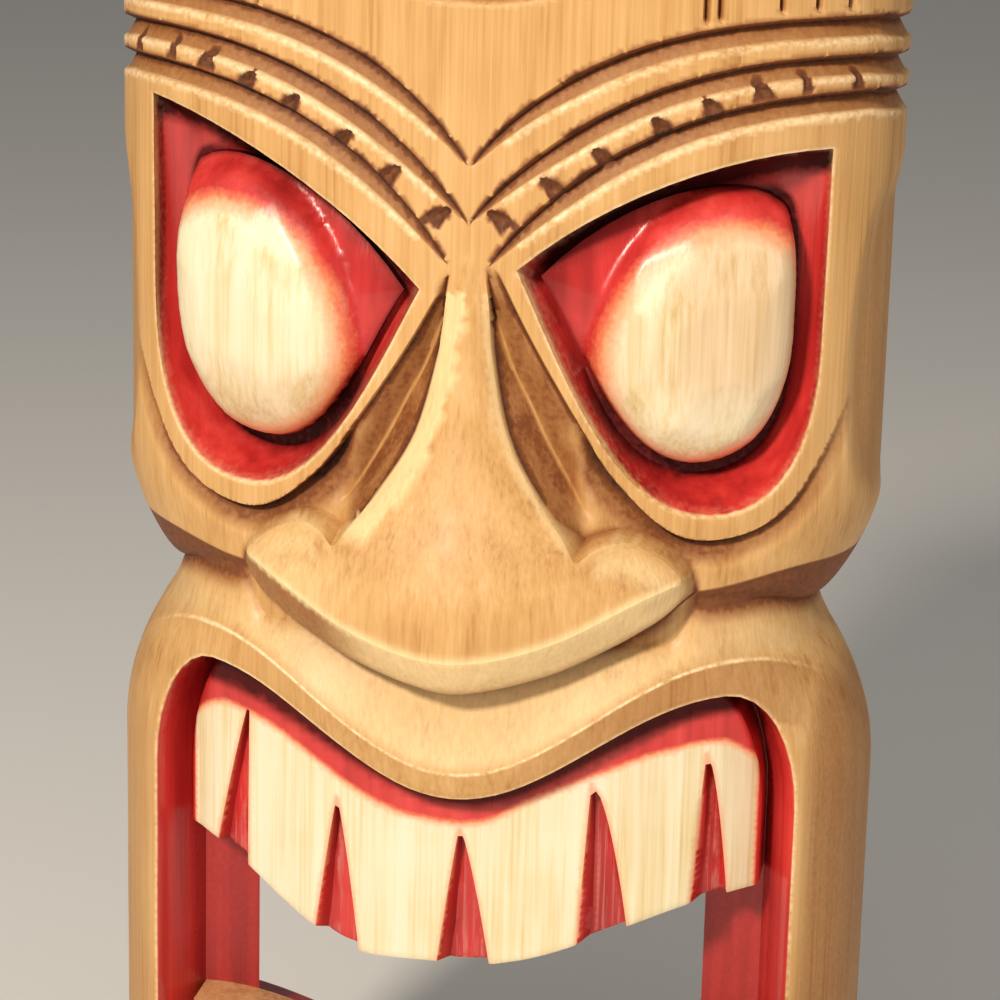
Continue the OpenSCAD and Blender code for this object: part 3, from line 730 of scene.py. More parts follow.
def cut_brows(face):
    """Stained V grooves with painted shade on the upper wall and a pale lower edge, and the chips between
    the lower two
    """
    for line in brow_grooves:
        near = np.flatnonzero((face.z > line[:, 1].min() - 6) & (face.z < line[:, 1].max() + 6))
        gap, _, along, left = distance(face.brow_spot[near], line)
        half = groove_half(along)
        side = gap * left / half
        v = np.interp(side, [-1, -0.7, 0.5, 1], [0, 0.4, 1, 0], 0, 0)
        rough = 0.12 * ripple(face.x[near], face.z[near], size=2.4, seed=7) * (v > 0.1)
        lay(face.cut, (groove_depth * v + rough) * half / groove_w, near)
        # Brown stain in the groove, darker on its upper wall as painted shade
        shade = np.interp(
            side, [-0.95, -0.85, 0.1, 0.5, 0.98, 1], [0, 0.36, 0.46, 0.85, 0.9, 0.5], 0, 0)
        lay(face.stain, shade, near)
        # A pale lower edge, partly wear and partly painted highlight
        worn = (side < -0.82) * ramp(2 + half * (1 + side) / 0.7) * (along > 0.08)
        lay(face.wear, 0.9 * worn, near)
    for chip in chips:
        x, z = chip.mean(0)
        near = np.flatnonzero((np.abs(face.ax - x) < 7) & (np.abs(face.z - z) < 8))
        gap = distance(face.brow_spot[near], chip, closed=True)[0]
        within = inside(face.brow_spot[near], chip) | (gap < on_line)
        lay(face.cut, within * (0.3 + 2.2 * ramp(gap / 1.8)), near)
        lay(face.stain, within * (0.8 - 0.2 * ramp(gap / 2)), near)
        face.wear[near[within]] = 0


def cut_hair(face):
    """Upright flutes, the arc over the brow with a highlight painted along it, and painted shade in each
    temple hollow
    """
    x, z, ax = face.x, face.z, face.ax
    for place in flute_places:
        v = ramp(1 - np.abs(ax - place) / flute_half) * ramp((z - flute_foot(place) + 0.01) / 2)
        lay(face.cut, 2.4 * v)
        lay(face.stain, 0.75 * v)
    radius = np.hypot(x, z - arc_z)
    on_arc = (z < 440) & (np.abs(np.arctan2(x, arc_z - z)) < math.radians(41.2))
    inner_side = (radius - arc_inner) / (arc_deepest - arc_inner)
    outer_side = (arc_outer - radius) / (arc_outer - arc_deepest)
    v = ramp(np.where(radius < arc_deepest, inner_side, outer_side)) * on_arc
    lay(face.cut, 2.6 * v)
    lay(face.stain, 0.45 * v)
    # A pale line painted along the outer edge of the arc as a highlight
    lay(face.wear, 0.9 * on_arc * ramp(1 - np.abs(radius - arc_outer - 0.3) / 0.7))
    # The hollow of the temple, darkened as painted shade
    gap, _, _, left = distance(points_at(ax, z), temple)
    hollow = ramp(gap / 5) * (left > 0) * (ax > 98) * ramp((353 - z) / 12) * ramp((z - 252) / 12)
    lay(face.cut, 2 * hollow)
    lay(face.stain, 0.25 * hollow)


def carved(u, z):
    """Where each unrolled point ends up on the face, with marks of paint, stain, wear, painted highlight
    and shade
    """
    x, p = roll_up(u, z)
    ax = np.abs(x)
    out_x = np.sign(x) * ax ** (section_power - 1) / level_w(z) ** section_power
    out_p = p ** (section_power - 1) / level_depth(z) ** section_power
    size = np.maximum(np.hypot(out_x, out_p), 1e-12)
    marks = {mark: np.zeros(len(x)) for mark in ("red", "stain", "wear", "cream", "edge")}
    face = SimpleNamespace(
        x=x, p=p, z=z, ax=ax, out_x=out_x / size, out_p=out_p / size, cut=np.zeros(len(x)),
        eye_spot=points_at(ax, z + np.sign(x) * socket_lean(ax)),
        brow_spot=points_at(ax, z + (x > 0) * brow_sag(ax)), **marks)
    roll_lips(face)
    leave_knife_marks(face)
    pare_cheeks(face)
    gouge_valleys(face)
    nose = carve_nose(face)
    cut_channels(face, nose)
    tint_nose(face, nose)
    hollow_sockets(face)
    hollow_mouth(face)
    cut_brows(face)
    cut_hair(face)

    # The crease of the waist rises from the sides to the wings of the nose
    lift = 9.5 * ease((ax - 56) / 8) * ease((100 - ax) / 22)
    z = z + lift * np.interp(z, [217.5, waist, 236], [0, 1, 0])
    return x - face.out_x * face.cut, face.p - face.out_p * face.cut, z, marks


def in_metres(x, p, z):
    return np.stack(np.broadcast_arrays(x, back_y - p, z), 1) / 1000


def strip(ring, other):
    """Four-sided faces between two rings of as many points"""
    return np.stack([np.roll(ring, -1), ring, other, np.roll(other, -1)], 1).tolist()


def closed_mesh(name, points, faces, marks):
    """A piece of points and faces, with doubles merged, faces turned outwards and marks on its points"""
    mesh = bpy.data.meshes.new(name)
    mesh.from_pydata(points.tolist(), [], faces)
    for mark, values in marks.items():
        layer = mesh.attributes.new(mark, "FLOAT", "POINT")
        layer.data.foreach_set("value", values.astype(np.float32))
    work = bmesh.new()
    work.from_mesh(mesh)
    bmesh.ops.remove_doubles(work, verts=work.verts, dist=1e-6)
    bmesh.ops.recalc_face_normals(work, faces=work.faces)
    for face in work.faces:
        face.smooth = True
    work.to_mesh(mesh)
    work.free()
    mesh.set_sharp_from_angle(angle=math.radians(52))
    if "edge" in marks:
        crisp = np.zeros(len(mesh.vertices), np.float32)
        mesh.attributes["edge"].data.foreach_get("value", crisp)
        ends = np.zeros(2 * len(mesh.edges), np.int32)
        mesh.edges.foreach_get("vertices", ends)
        sharp = np.zeros(len(mesh.edges), bool)
        mesh.attributes["sharp_edge"].data.foreach_get("value", sharp)
        sharp |= (crisp[ends.reshape(-1, 2)] > 0.5).all(1)
        mesh.attributes["sharp_edge"].data.foreach_set("value", sharp)
        mesh.attributes.remove(mesh.attributes["edge"])
    piece = bpy.data.objects.new(name, mesh)
    bpy.context.scene.collection.objects.link(piece)
    return piece


x, p, z, marks = carved(*sheet_points.T)
points = in_metres(x, p, z)
faces = face_triangles.tolist()
hole_ring, outer_ring = sorted(open_loops(face_triangles), key=len)

# Walls of the hole, which widens towards the back. The paint stops short of the back.
hole_middle = [0, 102]
hole_widens = 8
paint_stop = 0.8
hole_front = points_at(x, z)[hole_ring]
hole_back = hole_middle + (1 + hole_widens / hole_half_w) * (hole_front - hole_middle)
paint_end = hole_front + (hole_back - hole_front) * (1 - paint_stop / p[hole_ring])[:, None]
paint_ring = np.arange(len(hole_ring)) + len(points)
back_ring = paint_ring + len(hole_ring)
points = np.concatenate([
    points, in_metres(paint_end[:, 0], paint_stop, paint_end[:, 1]),
    in_metres(hole_back[:, 0], 0, hole_back[:, 1])])
faces += strip(hole_ring, paint_ring) + strip(paint_ring, back_ring)

# Top and base, each one flat face
for height in (block_h, 0):
    row = outer_ring[np.abs(z[outer_ring] - height) < 0.001]
    faces.append(row[np.argsort(x[row])].tolist())

# Flat back, with the routed recess of the hanger
recess_half_w = 22
recess_half_h = 32
recess_depth = 8
recess_round = 5
hanger_z = 440
bend = np.linspace(0, np.pi / 2, 7)
corner = [recess_half_w, recess_half_h] + recess_round * (points_at(np.cos(bend), np.sin(bend)) - 1)
recess = np.concatenate([
    corner, other_side(corner)[::-1], -corner, (corner * [1, -1])[::-1]]) + [0, hanger_z]
sides = outer_ring[np.abs(np.abs(sheet_points[outer_ring, 0]) - sheet_half) < 0.001]
right = sides[x[sides] > 0]
left = sides[x[sides] < 0]
upwards = right[np.argsort(z[right])]
downwards = left[np.argsort(-z[left])]
back_edge = points_at(x, z)[np.concatenate([upwards, downwards])]
back_points, back_faces = filled(
    [back_edge, hole_back[::-1], recess], [], coarse=14, fine=8, reach=12)
faces += (back_faces[:, ::-1] + len(points)).tolist()
recess_line = divided(recess, 8, closed=True)
points = np.concatenate([
    points, in_metres(back_points[:, 0], 0, back_points[:, 1]),
    in_metres(recess_line[:, 0], 0, recess_line[:, 1]),
    in_metres(recess_line[:, 0], recess_depth, recess_line[:, 1])])
recess_floor = np.arange(len(points) - len(recess_line), len(points))
faces += strip(recess_floor, recess_floor - len(recess_line))
faces.append(recess_floor.tolist())
for mark, values in marks.items():
    values[outer_ring] = 0
    marks[mark] = np.concatenate([values, np.zeros(len(points) - len(values))])
# The painted wall of the hole is red, darkened as painted shade
marks["red"][paint_ring] = 1
marks["stain"][paint_ring] = 0.35
half_log = closed_mesh("carved_half_log", points, faces, marks)


def colour(code):
    parts = [int(code[i:i + 2], 16) / 255 for i in (1, 3, 5)]
    return [c / 12.92 if c <= 0.04045 else ((c + 0.055) / 1.055) ** 2.4 for c in parts] + [1]


def add(tree, kind, inputs=None, output=0, **settings):
    """Adds a node, sets it up, gives each input its value or its links, and hands back one output"""
    made = tree.nodes.new(kind)
    for name, value in settings.items():
        if name == "stops":
            for _ in value[2:]:
                made.color_ramp.elements.new(0.5)
            for element, (position, code) in zip(made.color_ramp.elements, value):
                element.position = position
                element.color = colour(code)
        else:
            setattr(made, name, value)
    for name, value in (inputs or {}).items():
        links = value if isinstance(value, (list, tuple)) else [value]
        if isinstance(links[0], bpy.types.NodeSocket):
            for link in links:
                tree.links.new(link, made.inputs[name])
        else:
            made.inputs[name].default_value = value
    return made.outputs[output] if made.outputs else None


def new_material(name):
    made = bpy.data.materials.new(name)
    made.use_nodes = True
    made.node_tree.nodes.clear()
    return made, made.node_tree


def per_metre(size):
    """Scale of a pattern whose parts have a given size in millimetres"""
    return 1000 / size


def wood_grain(tree, fibre, streak, cloud, grit):
    """Object coordinates, and noise of fibres, streaks, clouds and grit, each of a width and a length"""
    place = add(tree, "ShaderNodeTexCoord", output="Object")
    noises = []
    for (wide, long), detail, roughness in (
            (fibre, 3, 0.6), (streak, 2, 0.5), (cloud, 3, 0.5), (grit, 2, 0.5)):
        drawn = add(tree, "ShaderNodeMapping", {
            "Vector": place, "Scale": (per_metre(wide), per_metre(wide), per_metre(long))})
        noises.append(add(tree, "ShaderNodeTexNoise", {
            "Vector": drawn, "Scale": 1, "Detail": detail, "Roughness": roughness}, "Fac"))
    return place, noises


def weighed(tree, start, *shares):
    """A number plus several patterns, each times its share"""
    total = start
    for pattern, share in shares:
        total = add(tree, "ShaderNodeMath", {0: pattern, 1: share, 2: total}, operation="MULTIPLY_ADD")
    return total


# Lacquered hardwood: vertical grain and growth rings under a satin clear coat, brown stain in the cuts with
# painted shade in creases, recesses and under sides, pale edges that are partly wear and partly painted
# highlight, red enamel in the hollows with painted shade in their corners, and a cream wash along the nose
# with painted highlights. Pattern sizes are in millimetres. Real fibres are too fine to show, so they are
# drawn about 1 mm wide.
ring_gap = 6.0415
carved_wood, tree = new_material("lacquered_hardwood")
place, (fibre, streak, cloud, grit) = wood_grain(
    tree, (1.1111, 62.5), (4.7619, 111.11), (62.5, 62.5), (1.6129, 1.6129))
red, stain, wear, wash_and_highlight = (
    add(tree, "ShaderNodeAttribute", output="Fac", attribute_name=mark)
    for mark in ("red", "stain", "wear", "cream"))
pith = add(tree, "ShaderNodeMapping", {
    "Vector": place, "Location": (-0.012, -0.075, 0), "Rotation": (0.03, 0.05, 0)})
rings = add(tree, "ShaderNodeTexWave", {
    "Vector": pith, "Scale": math.pi / 10 * per_metre(ring_gap), "Distortion": 3, "Detail": 2,
    "Detail Scale": 0.6}, "Fac", wave_type="RINGS", rings_direction="Z")

# Bare wood, from the broad cloud of the board to the fine grain
tone = weighed(tree, 0, (cloud, 0.2), (streak, 0.3), (fibre, 0.42), (rings, 0.08))
bare = add(tree, "ShaderNodeValToRGB", {0: tone}, stops=(
    (0.34, "#b27c41"), (0.45, "#c7975a"), (0.54, "#d0a164"), (0.66, "#daaf78")))

# Brown stain and painted shade, thin or thick, then the cream wash with painted highlights
uneven = weighed(tree, 0.45, (cloud, 0.5), (grit, 0.6))
stained_and_shaded = add(tree, "ShaderNodeMath", {0: stain, 1: uneven}, operation="MULTIPLY")
thin = add(tree, "ShaderNodeMapRange", {0: stained_and_shaded, 1: 0.04, 2: 0.58})
dark_stain_and_shade = add(tree, "ShaderNodeMapRange", {0: stained_and_shaded, 1: 0.5, 2: 1.0})
brushed_wash_and_highlight = add(tree, "ShaderNodeMath", {0: fibre, 1: 0.6, 2: 0.55}, operation="MULTIPLY_ADD")
brushed_wash_and_highlight = add(tree, "ShaderNodeMath", {0: wash_and_highlight, 1: brushed_wash_and_highlight}, operation="MULTIPLY")
stain_shade_wash_and_highlight = bare
for share, code in ((thin, "#874a1b"), (dark_stain_and_shade, "#2b0d04"), (brushed_wash_and_highlight, "#f8dea7")):
    stain_shade_wash_and_highlight = add(tree, "ShaderNodeMix", {0: share, 6: stain_shade_wash_and_highlight, 7: colour(code)}, 2, data_type="RGBA")

# Red enamel with brush marks and painted shade in its corners, and pale edges, partly rubbed back to
# pale wood and partly painted highlight
strokes = weighed(tree, 0, (streak, 0.5), (cloud, 0.5))
enamel = add(tree, "ShaderNodeValToRGB", {0: strokes}, stops=(
    (0.34, "#9c2020"), (0.52, "#c4302d"), (0.68, "#d8433d")))
enamel_shade = add(tree, "ShaderNodeMapRange", {0: stained_and_shaded, 1: 0.05, 2: 0.9, 4: 0.92})
enamel = add(tree, "ShaderNodeMix", {0: enamel_shade, 6: enamel, 7: colour("#1e0405")}, 2, data_type="RGBA")
covered = add(tree, "ShaderNodeMath", {0: red, 1: uneven}, operation="MULTIPLY")
covered = add(tree, "ShaderNodeMapRange", {0: covered, 1: 0.35, 2: 0.65})
painted = add(tree, "ShaderNodeMix", {0: covered, 6: stain_shade_wash_and_highlight, 7: enamel}, 2, data_type="RGBA")
patchy = weighed(tree, 0, (grit, 1), (cloud, 1))
patchy = add(tree, "ShaderNodeMapRange", {0: patchy, 1: 0.76, 2: 1.24})
worn_and_lit_edges = add(tree, "ShaderNodeMath", {0: wear, 1: patchy}, operation="MULTIPLY")
finish = add(tree, "ShaderNodeMix", {0: worn_and_lit_edges, 6: painted, 7: colour("#fadbad")}, 2, data_type="RGBA")

# Satin lacquer, glossier on the enamel and dull where the stain and painted shade are thick, with less
# coat and specular where the enamel is painted shade, and with the grain a little raised
sheen = weighed(tree, 0.42, (fibre, 0.16), (stained_and_shaded, 0.35), (red, -0.26))
unshaded_enamel = add(tree, "ShaderNodeMath", {0: red, 1: enamel_shade}, operation="SUBTRACT", use_clamp=True)
coat = add(tree, "ShaderNodeMath", {0: unshaded_enamel, 1: 0.24, 2: 0.05}, operation="MULTIPLY_ADD")
shaded_enamel = add(tree, "ShaderNodeMath", {0: red, 1: enamel_shade}, operation="MULTIPLY")
shine = add(tree, "ShaderNodeMapRange", {0: shaded_enamel, 1: 0.1, 2: 0.9, 3: 0.5, 4: 0.1})
height = weighed(tree, 0, (streak, 0.6), (grit, 0.25), (fibre, 0.7))
grain = add(tree, "ShaderNodeBump", {"Height": height, "Strength": 0.3, "Distance": 0.0006})
surface = add(tree, "ShaderNodeBsdfPrincipled", {
    "Base Color": finish, "Roughness": sheen, "Normal": grain, "IOR": 1.5, "Specular IOR Level": shine,
    "Coat Weight": coat, "Coat Roughness": 0.2})
add(tree, "ShaderNodeOutputMaterial", {0: surface})
half_log.data.materials.append(carved_wood)
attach(half_log, "mask")
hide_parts("mask_block")

# Eyeballs
# Two domes of the same wood, cut with a knife in flat facets and painted cream, with a red fade sprayed on
# from the socket. Each is glued into its socket by a round tenon.
egg_half_w = 31
egg_up = 41
egg_down = 39
egg_h = 14.3
egg_shift = 1
egg_lean = 0.15
pad_h = 4
facet_rings = ((0.05, 1), (0.5, 5), (0.76, 8), (0.92, 11))
facet_reach = 38


def egg(q):
    """Height of the round part of the eye over its seat, and a second value that is 1 at its edge"""
    across = q[:, 0] * math.cos(eye_turn) - egg_shift - egg_lean * q[:, 1]
    out = np.hypot(across / egg_half_w, q[:, 1] / np.where(q[:, 1] > 0, egg_up, egg_down))
    return egg_h * np.sqrt(ramp(1 - out ** 2.4)), out


def cut_dome(q, loop, seed):
    """The eye over its seat: the egg, pared to flat facets, on a low pad drawn out to the corners"""
    round_h, out = egg(q)
    dice = np.random.default_rng(seed)
    pared = np.full(len(q), 1e9)
    for ring, count in facet_rings:
        for i in range(count):
            a = 2 * np.pi * (i + dice.uniform(-0.3, 0.3)) / count
            b = ring * facet_reach * math.sin(a)
            across = ring * egg_half_w * math.cos(a) + egg_shift + egg_lean * b
            spot = np.array([[across / math.cos(eye_turn), b]])
            if inside(spot, loop)[0]:
                h = egg(spot + np.array([[0, 0], [0.1, 0], [0, 0.1]]))[0]
                pared = np.minimum(pared, h[0] + (q - spot) @ ((h[1:] - h[0]) / 0.1))
    round_h = round_h + np.clip(pared - round_h, 0, 1.5) * ramp((1 - out) / 0.1)
    angles = np.arctan2(loop[:, 1], loop[:, 0])
    order = np.argsort(angles)
    reach = np.interp(
        np.arctan2(q[:, 1], q[:, 0]), angles[order], np.hypot(*loop[order].T), period=2 * np.pi)
    share = ramp(np.hypot(*q.T) / reach)
    pad = pad_h * (1 - share ** 2) ** 0.6
    return np.hypot(round_h, pad) * (1 - share ** 8) ** 0.4


# Matt cream milk paint rubbed thin over vertical grain, with red enamel sprayed on by a soft edge, and
# painted shade that darkens the red
cream_wood, tree = new_material("cream_milk_paint")
_, (fibre, streak, cloud, grit) = wood_grain(
    tree, (1.25, 71.429), (5.2632, 100), (33.333, 33.333), (1.42857, 1.42857))
red, bare, wear, grime = (
    add(tree, "ShaderNodeAttribute", output="Fac", attribute_name=mark)
    for mark in ("red", "bare", "wear", "grime"))
tone = weighed(tree, 0, (cloud, 0.25), (streak, 0.35), (fibre, 0.4))
milk = add(tree, "ShaderNodeValToRGB", {0: tone}, stops=(
    (0.3, "#cbae74"), (0.42, "#dfcb9c"), (0.52, "#e8dbb9"), (0.7, "#eee4d0")))
timber = add(tree, "ShaderNodeValToRGB", {0: tone}, stops=((0.35, "#ae7744"), (0.6, "#d8a873")))
ground = add(tree, "ShaderNodeMix", {0: bare, 6: milk, 7: timber}, 2, data_type="RGBA")

# The spray, speckled and drawn along the grain: first an orange mist, then full red
spray = weighed(tree, -0.2, (grit, 0.2), (streak, 0.2), (red, 1))
mist = add(tree, "ShaderNodeMapRange", {0: spray, 1: 0.08, 2: 0.5})
fade = add(tree, "ShaderNodeMix", {0: mist, 6: ground, 7: colour("#ef8d60")}, 2, data_type="RGBA")
strokes = weighed(tree, 0, (streak, 0.5), (cloud, 0.5))
enamel = add(tree, "ShaderNodeValToRGB", {0: strokes}, stops=(
    (0.36, "#a82423"), (0.52, "#ca3230"), (0.66, "#db453f")))
# Painted shade darkens the red round the eyes, under the lip and in the cuts
enamel = add(tree, "ShaderNodeMix", {0: grime, 6: enamel, 7: colour("#1e0405")}, 2, data_type="RGBA")
solid_red = add(tree, "ShaderNodeMapRange", {0: spray, 1: 0.4, 2: 0.68})
full = add(tree, "ShaderNodeMix", {0: solid_red, 6: fade, 7: enamel}, 2, data_type="RGBA")
scratch = add(tree, "ShaderNodeMapRange", {0: fibre, 1: 0.5, 2: 0.72})
scratch = add(tree, "ShaderNodeMath", {0: wear, 1: scratch}, operation="MULTIPLY")
finish = add(tree, "ShaderNodeMix", {0: scratch, 6: full, 7: colour("#dca59a")}, 2, data_type="RGBA")
# Less coat and specular where the red is painted shade
coat = add(tree, "ShaderNodeMapRange", {0: grime, 1: 0, 2: 0.8, 3: 0.15, 4: 0})
shine = add(tree, "ShaderNodeMapRange", {0: grime, 1: 0, 2: 0.8, 3: 0.5, 4: 0.15})
sheen = weighed(tree, 0.36, (fibre, 0.2), (red, -0.16))
height = weighed(tree, 0, (streak, 0.5), (fibre, 0.8))
grain = add(tree, "ShaderNodeBump", {"Height": height, "Strength": 0.3, "Distance": 0.0005})
surface = add(tree, "ShaderNodeBsdfPrincipled", {
    "Base Color": finish, "Roughness": sheen, "Normal": grain, "IOR": 1.5, "Specular IOR Level": shine,
    "Coat Weight": coat, "Coat Roughness": 0.2})
add(tree, "ShaderNodeOutputMaterial", {0: surface})


def with_wall(front, back, faces, marks, wall_marks):
    """Closes a sheet of triangles with a wall round its edge and a flat back"""
    (ring,) = [loop for loop in open_loops(faces) if len(loop) > 20]
    wall = back[ring] - front[ring]
    lip_w = 0.0004
    lip_share = np.minimum(lip_w / np.maximum(np.linalg.norm(wall, axis=1), 1e-9), 0.4)
    lip_ring = np.arange(len(ring)) + len(front)
    back_ring = lip_ring + len(ring)
    points = np.concatenate([front, front[ring] + wall * lip_share[:, None], back[ring]])
    solid = faces.tolist() + strip(ring, lip_ring) + strip(lip_ring, back_ring) + [back_ring.tolist()]
    all_marks = {}
    for mark, values in marks.items():
        on_wall = np.broadcast_to(wall_marks.get(mark, values[ring]), len(ring))
        all_marks[mark] = np.concatenate([values, on_wall, on_wall])
    return points, solid, all_marks


inner_corner = socket_rim[np.argmin(socket_rim[:, 0])]
for name, node, side, seed in (
        ("left_carved_eye", "left_eyeball", -1, 3), ("right_carved_eye", "right_eyeball", 1, 4)):
    eye_loop = (slanted(eyeball_edge, side) - eye_place) / [math.cos(eye_turn), 1]
    rounds = [ringed(eye_loop * share) for share in (0.97, 0.9)]
    eye_points, eye_faces = filled([eye_loop], rounds, coarse=1.5, fine=1.3, reach=4)
    h = cut_dome(eye_points, eye_loop, seed)
    a, b = eye_points.T
    across = a * math.cos(eye_turn)
    seat_p = eye_seat - a * math.sin(eye_turn)
    front = in_metres(
        side * (eye_x + across + h * math.sin(eye_turn)), seat_p + h * math.cos(eye_turn), eye_z + b)
    back = in_metres(side * (eye_x + across), seat_p - moat_depth, eye_z + b)
    from_white = np.hypot((across - 0.8 - egg_lean * b) / 28.5, b / np.where(b > 0, 32, 35))
    sprayed = ramp((from_white - 0.8) / 0.4)
    # Painted shade under the upper rim, at the inner corner and round the edge of the eye, with red under
    # it
    seen = points_at(eye_x + across, eye_z + b)
    from_corner = np.hypot(*(seen - inner_corner).T)
    shade = np.maximum(1.2 - distance(seen, upper_rim)[0] / 8, 1.3 - from_corner / 15)
    from_edge = distance(eye_points, eye_loop, closed=True)[0]
    grime = np.maximum(0.7 * ramp(1 - from_edge / 1.6), 0.75 * ramp(shade))
    # The cream thinned towards the wood colour as painted shade: over the right eye, less at its bottom and
    # inner side, and over the bottom of the left eye
    lower = ease((-b - 6) / 18)
    inner = ease((-a - 2) / 14)
    thin = (0.5 - 0.38 * lower) * (1 - 0.6 * inner) if side > 0 else 0.06 + 0.36 * lower
    eye_marks = {"red": np.maximum(sprayed, grime), "bare": thin, "wear": np.zeros(len(a)), "grime": grime}
    turned = eye_faces if side > 0 else eye_faces[:, ::-1]
    # The wall round each eye is red and fully painted shade
    points, solid, eye_marks = with_wall(front, back, turned, eye_marks, {"red": 1, "grime": 1})
    eye = closed_mesh(name, points, solid, eye_marks)
    eye.data.materials.append(cream_wood)
    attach(eye, "mask")
    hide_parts(node)

# Bars of teeth
# Two curved bars of the same wood, sawn along their tips, with V cuts between the teeth. They are painted
# cream, with red brushed in along the lip and in the cuts. Hidden pins hold them on the floor of the mouth.
bar_half_w = 82.2
bar_lip_gap = 0.8
cut_depth = 5
cut_wall_w = 1.2


def bar_p(x):
    return round_p(x, w=98, depth=64)


def bar_edge(half):
    """The rim of the mouth, brought in to the foot of its walls and a little further"""
    return sloped_in(half) * [bar_half_w / (mouth_half_w - wall_slope), 1]


run = np.linspace(0, bar_half_w, 30)
upper_half = np.concatenate([
    points_at(run, upper_tips(run)), bar_edge(mouth_up) - [0, bar_lip_gap]])
lower_half = np.concatenate([
    bar_edge(mouth_down) + [0, bar_lip_gap], points_at(run[::-1], lower_tips(run[::-1]))])


def gap_shape(apex_x, apex_z, left_x, right_x, bulge, tips, drawn_in):
    """Outline of the cut between two teeth, run a little past the tips"""
    down = 1 if apex_z > tips(apex_x) else -1
    t = np.linspace(-0.15, 1 - 0.08 * (drawn_in > 0), 14)
    right = points_at(
        apex_x + (right_x - apex_x) * np.clip(1 - t, 0, 2) ** bulge,
        tips(right_x) + (apex_z - tips(right_x)) * t)
    left = points_at(
        apex_x + (left_x - apex_x) * np.clip(1 - t, 0, 2) ** 0.9,
        tips(left_x) + (apex_z - tips(left_x)) * t)
    wide = right[:, 0] - left[:, 0]
    right[:, 0] -= np.minimum(drawn_in, 0.12 * wide)
    left[:, 0] += np.minimum(2.6 * drawn_in, 0.26 * wide)
    shape = np.concatenate([right, left[::-1][1 - (drawn_in > 0):]])
    return shape[::down]


def tooth_bar(name, node, half, gaps, lip, tips, wall_marks):
    loop = np.concatenate([half, other_side(half[::-1])])
    on_tips = np.abs(loop[:, 1] - tips(np.abs(loop[:, 0]))) < 0.01
    loop[on_tips, 1] = tips(loop[on_tips, 0])
    loop = loop[np.hypot(*(loop - np.roll(loop, 1, 0)).T) > 0.001]
    outer = [gap_shape(*gap, tips, 0) for gap in gaps]
    inner = [gap_shape(*gap, tips, cut_wall_w) for gap in gaps]
    lines = [ringed(line) for line in outer + inner + [moved(loop, 0.9, closed=True)]]
    points, faces = filled([loop], lines, coarse=2.4, fine=1.3, reach=4)
    x, z = points.T
    ax = np.abs(x)
    p = bar_p(x) + 0.2 * ripple(x, z * 0.2, size=5, seed=11)
    p = p + 0.3 * ripple(x, z * 0.3, size=13, seed=12)
    p = p - 0.5 * ramp(1 - distance(points, loop, closed=True)[0] / 0.9)

    # Red along the lip, wider to the sides, with painted shade under the lip
    left_reach = 10.5 + 3.5 * ease(-x / 34)
    right_reach = 10.5 - 2.5 * ease(x / 20) + 6.5 * ease((x - 20) / 50)
    reach = np.where(x < 0, left_reach, right_reach) + 0.5 * ripple(x, z, size=11, seed=13)
    reach = reach + 7 * ramp((ax - 68) / 13) ** 2
    from_lip = np.abs(z - lip(x))
    red = np.maximum(ramp(0.5 + (reach - from_lip) / 5), ramp((ax - 80.4) / 1.6))
    dark_reach = 7.2 + np.where(x < 0, 4, 1.2) * ease((ax - 15) / 45)
    grime = 0.9 * ramp((dark_reach - from_lip) / 2.8)
    # Paint thinner at random, and towards the right end of the bar as painted shade
    thin = ramp(0.1 * ripple(x, z * 0.2, size=9, seed=15) + 0.3 * ease((x - 62) / 18))
    wear = np.zeros(len(x))

    # The cuts between the teeth, red inside, with painted shade on their left
    for gap_line, floor_line in zip(outer, inner):
        outer_gap, floor_gap, within, on_floor = hollow_at(points, gap_line, floor_line, touch=0.001)
        deep = np.where(on_floor, 1, within * between(outer_gap, floor_gap))
        p = p - (cut_depth + 0.35 * ripple(x, z * 0.6, size=3, seed=14)) * deep
        across = (x - gap_line[:, 0].min()) / np.ptp(gap_line[:, 0])
        spill = 0.34 * ramp(1 - outer_gap / 1.8)
        lay(grime, 0.55 * deep * ramp(1.1 - 1.6 * across))
        lay(red, np.where(within, ramp(0.75 + outer_gap), spill))
        lay(wear, 0.45 * on_floor * ramp(floor_gap))
    front = in_metres(x, p, z)
    back = in_metres(x, mouth_floor, z)
    marks = {"red": red, "bare": thin, "wear": wear, "grime": grime}
    solid_points, solid, marks = with_wall(front, back, faces, marks, wall_marks)
    bar = closed_mesh(name, solid_points, solid, marks)
    bar.data.materials.append(cream_wood)
    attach(bar, "mask")
    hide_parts(node)


# Each cut: the place of its apex, its left and right ends on the tips, and how much its right side bulges
upper_gaps = (
    (-62, 195.6, -72.6, -62.4, 0.9), (-34.8, 171.8, -41, -27.7, 0.8), (0.6, 166.6, -5.2, 9.9, 0.75),
    (36.8, 181.4, 34, 47.6, 0.6), (67.2, 189.2, 64.2, 74, 0.6))
lower_gaps = (
    (-62, 68.3, -67, -57, 0.9), (-33, 57.7, -39, -27, 0.9), (0, 52, -7, 7, 0.9),
    (33, 57.7, 27, 39, 0.9), (62, 68.3, 57, 67, 0.9))
tooth_bar(
    "upper_tooth_bar", "upper_teeth", upper_half, upper_gaps, mouth_top, upper_tips, {"red": 1})
tooth_bar(
    "lower_tooth_bar", "lower_teeth", lower_half, lower_gaps, mouth_bottom, lower_tips,
    {"bare": 1, "red": 0})

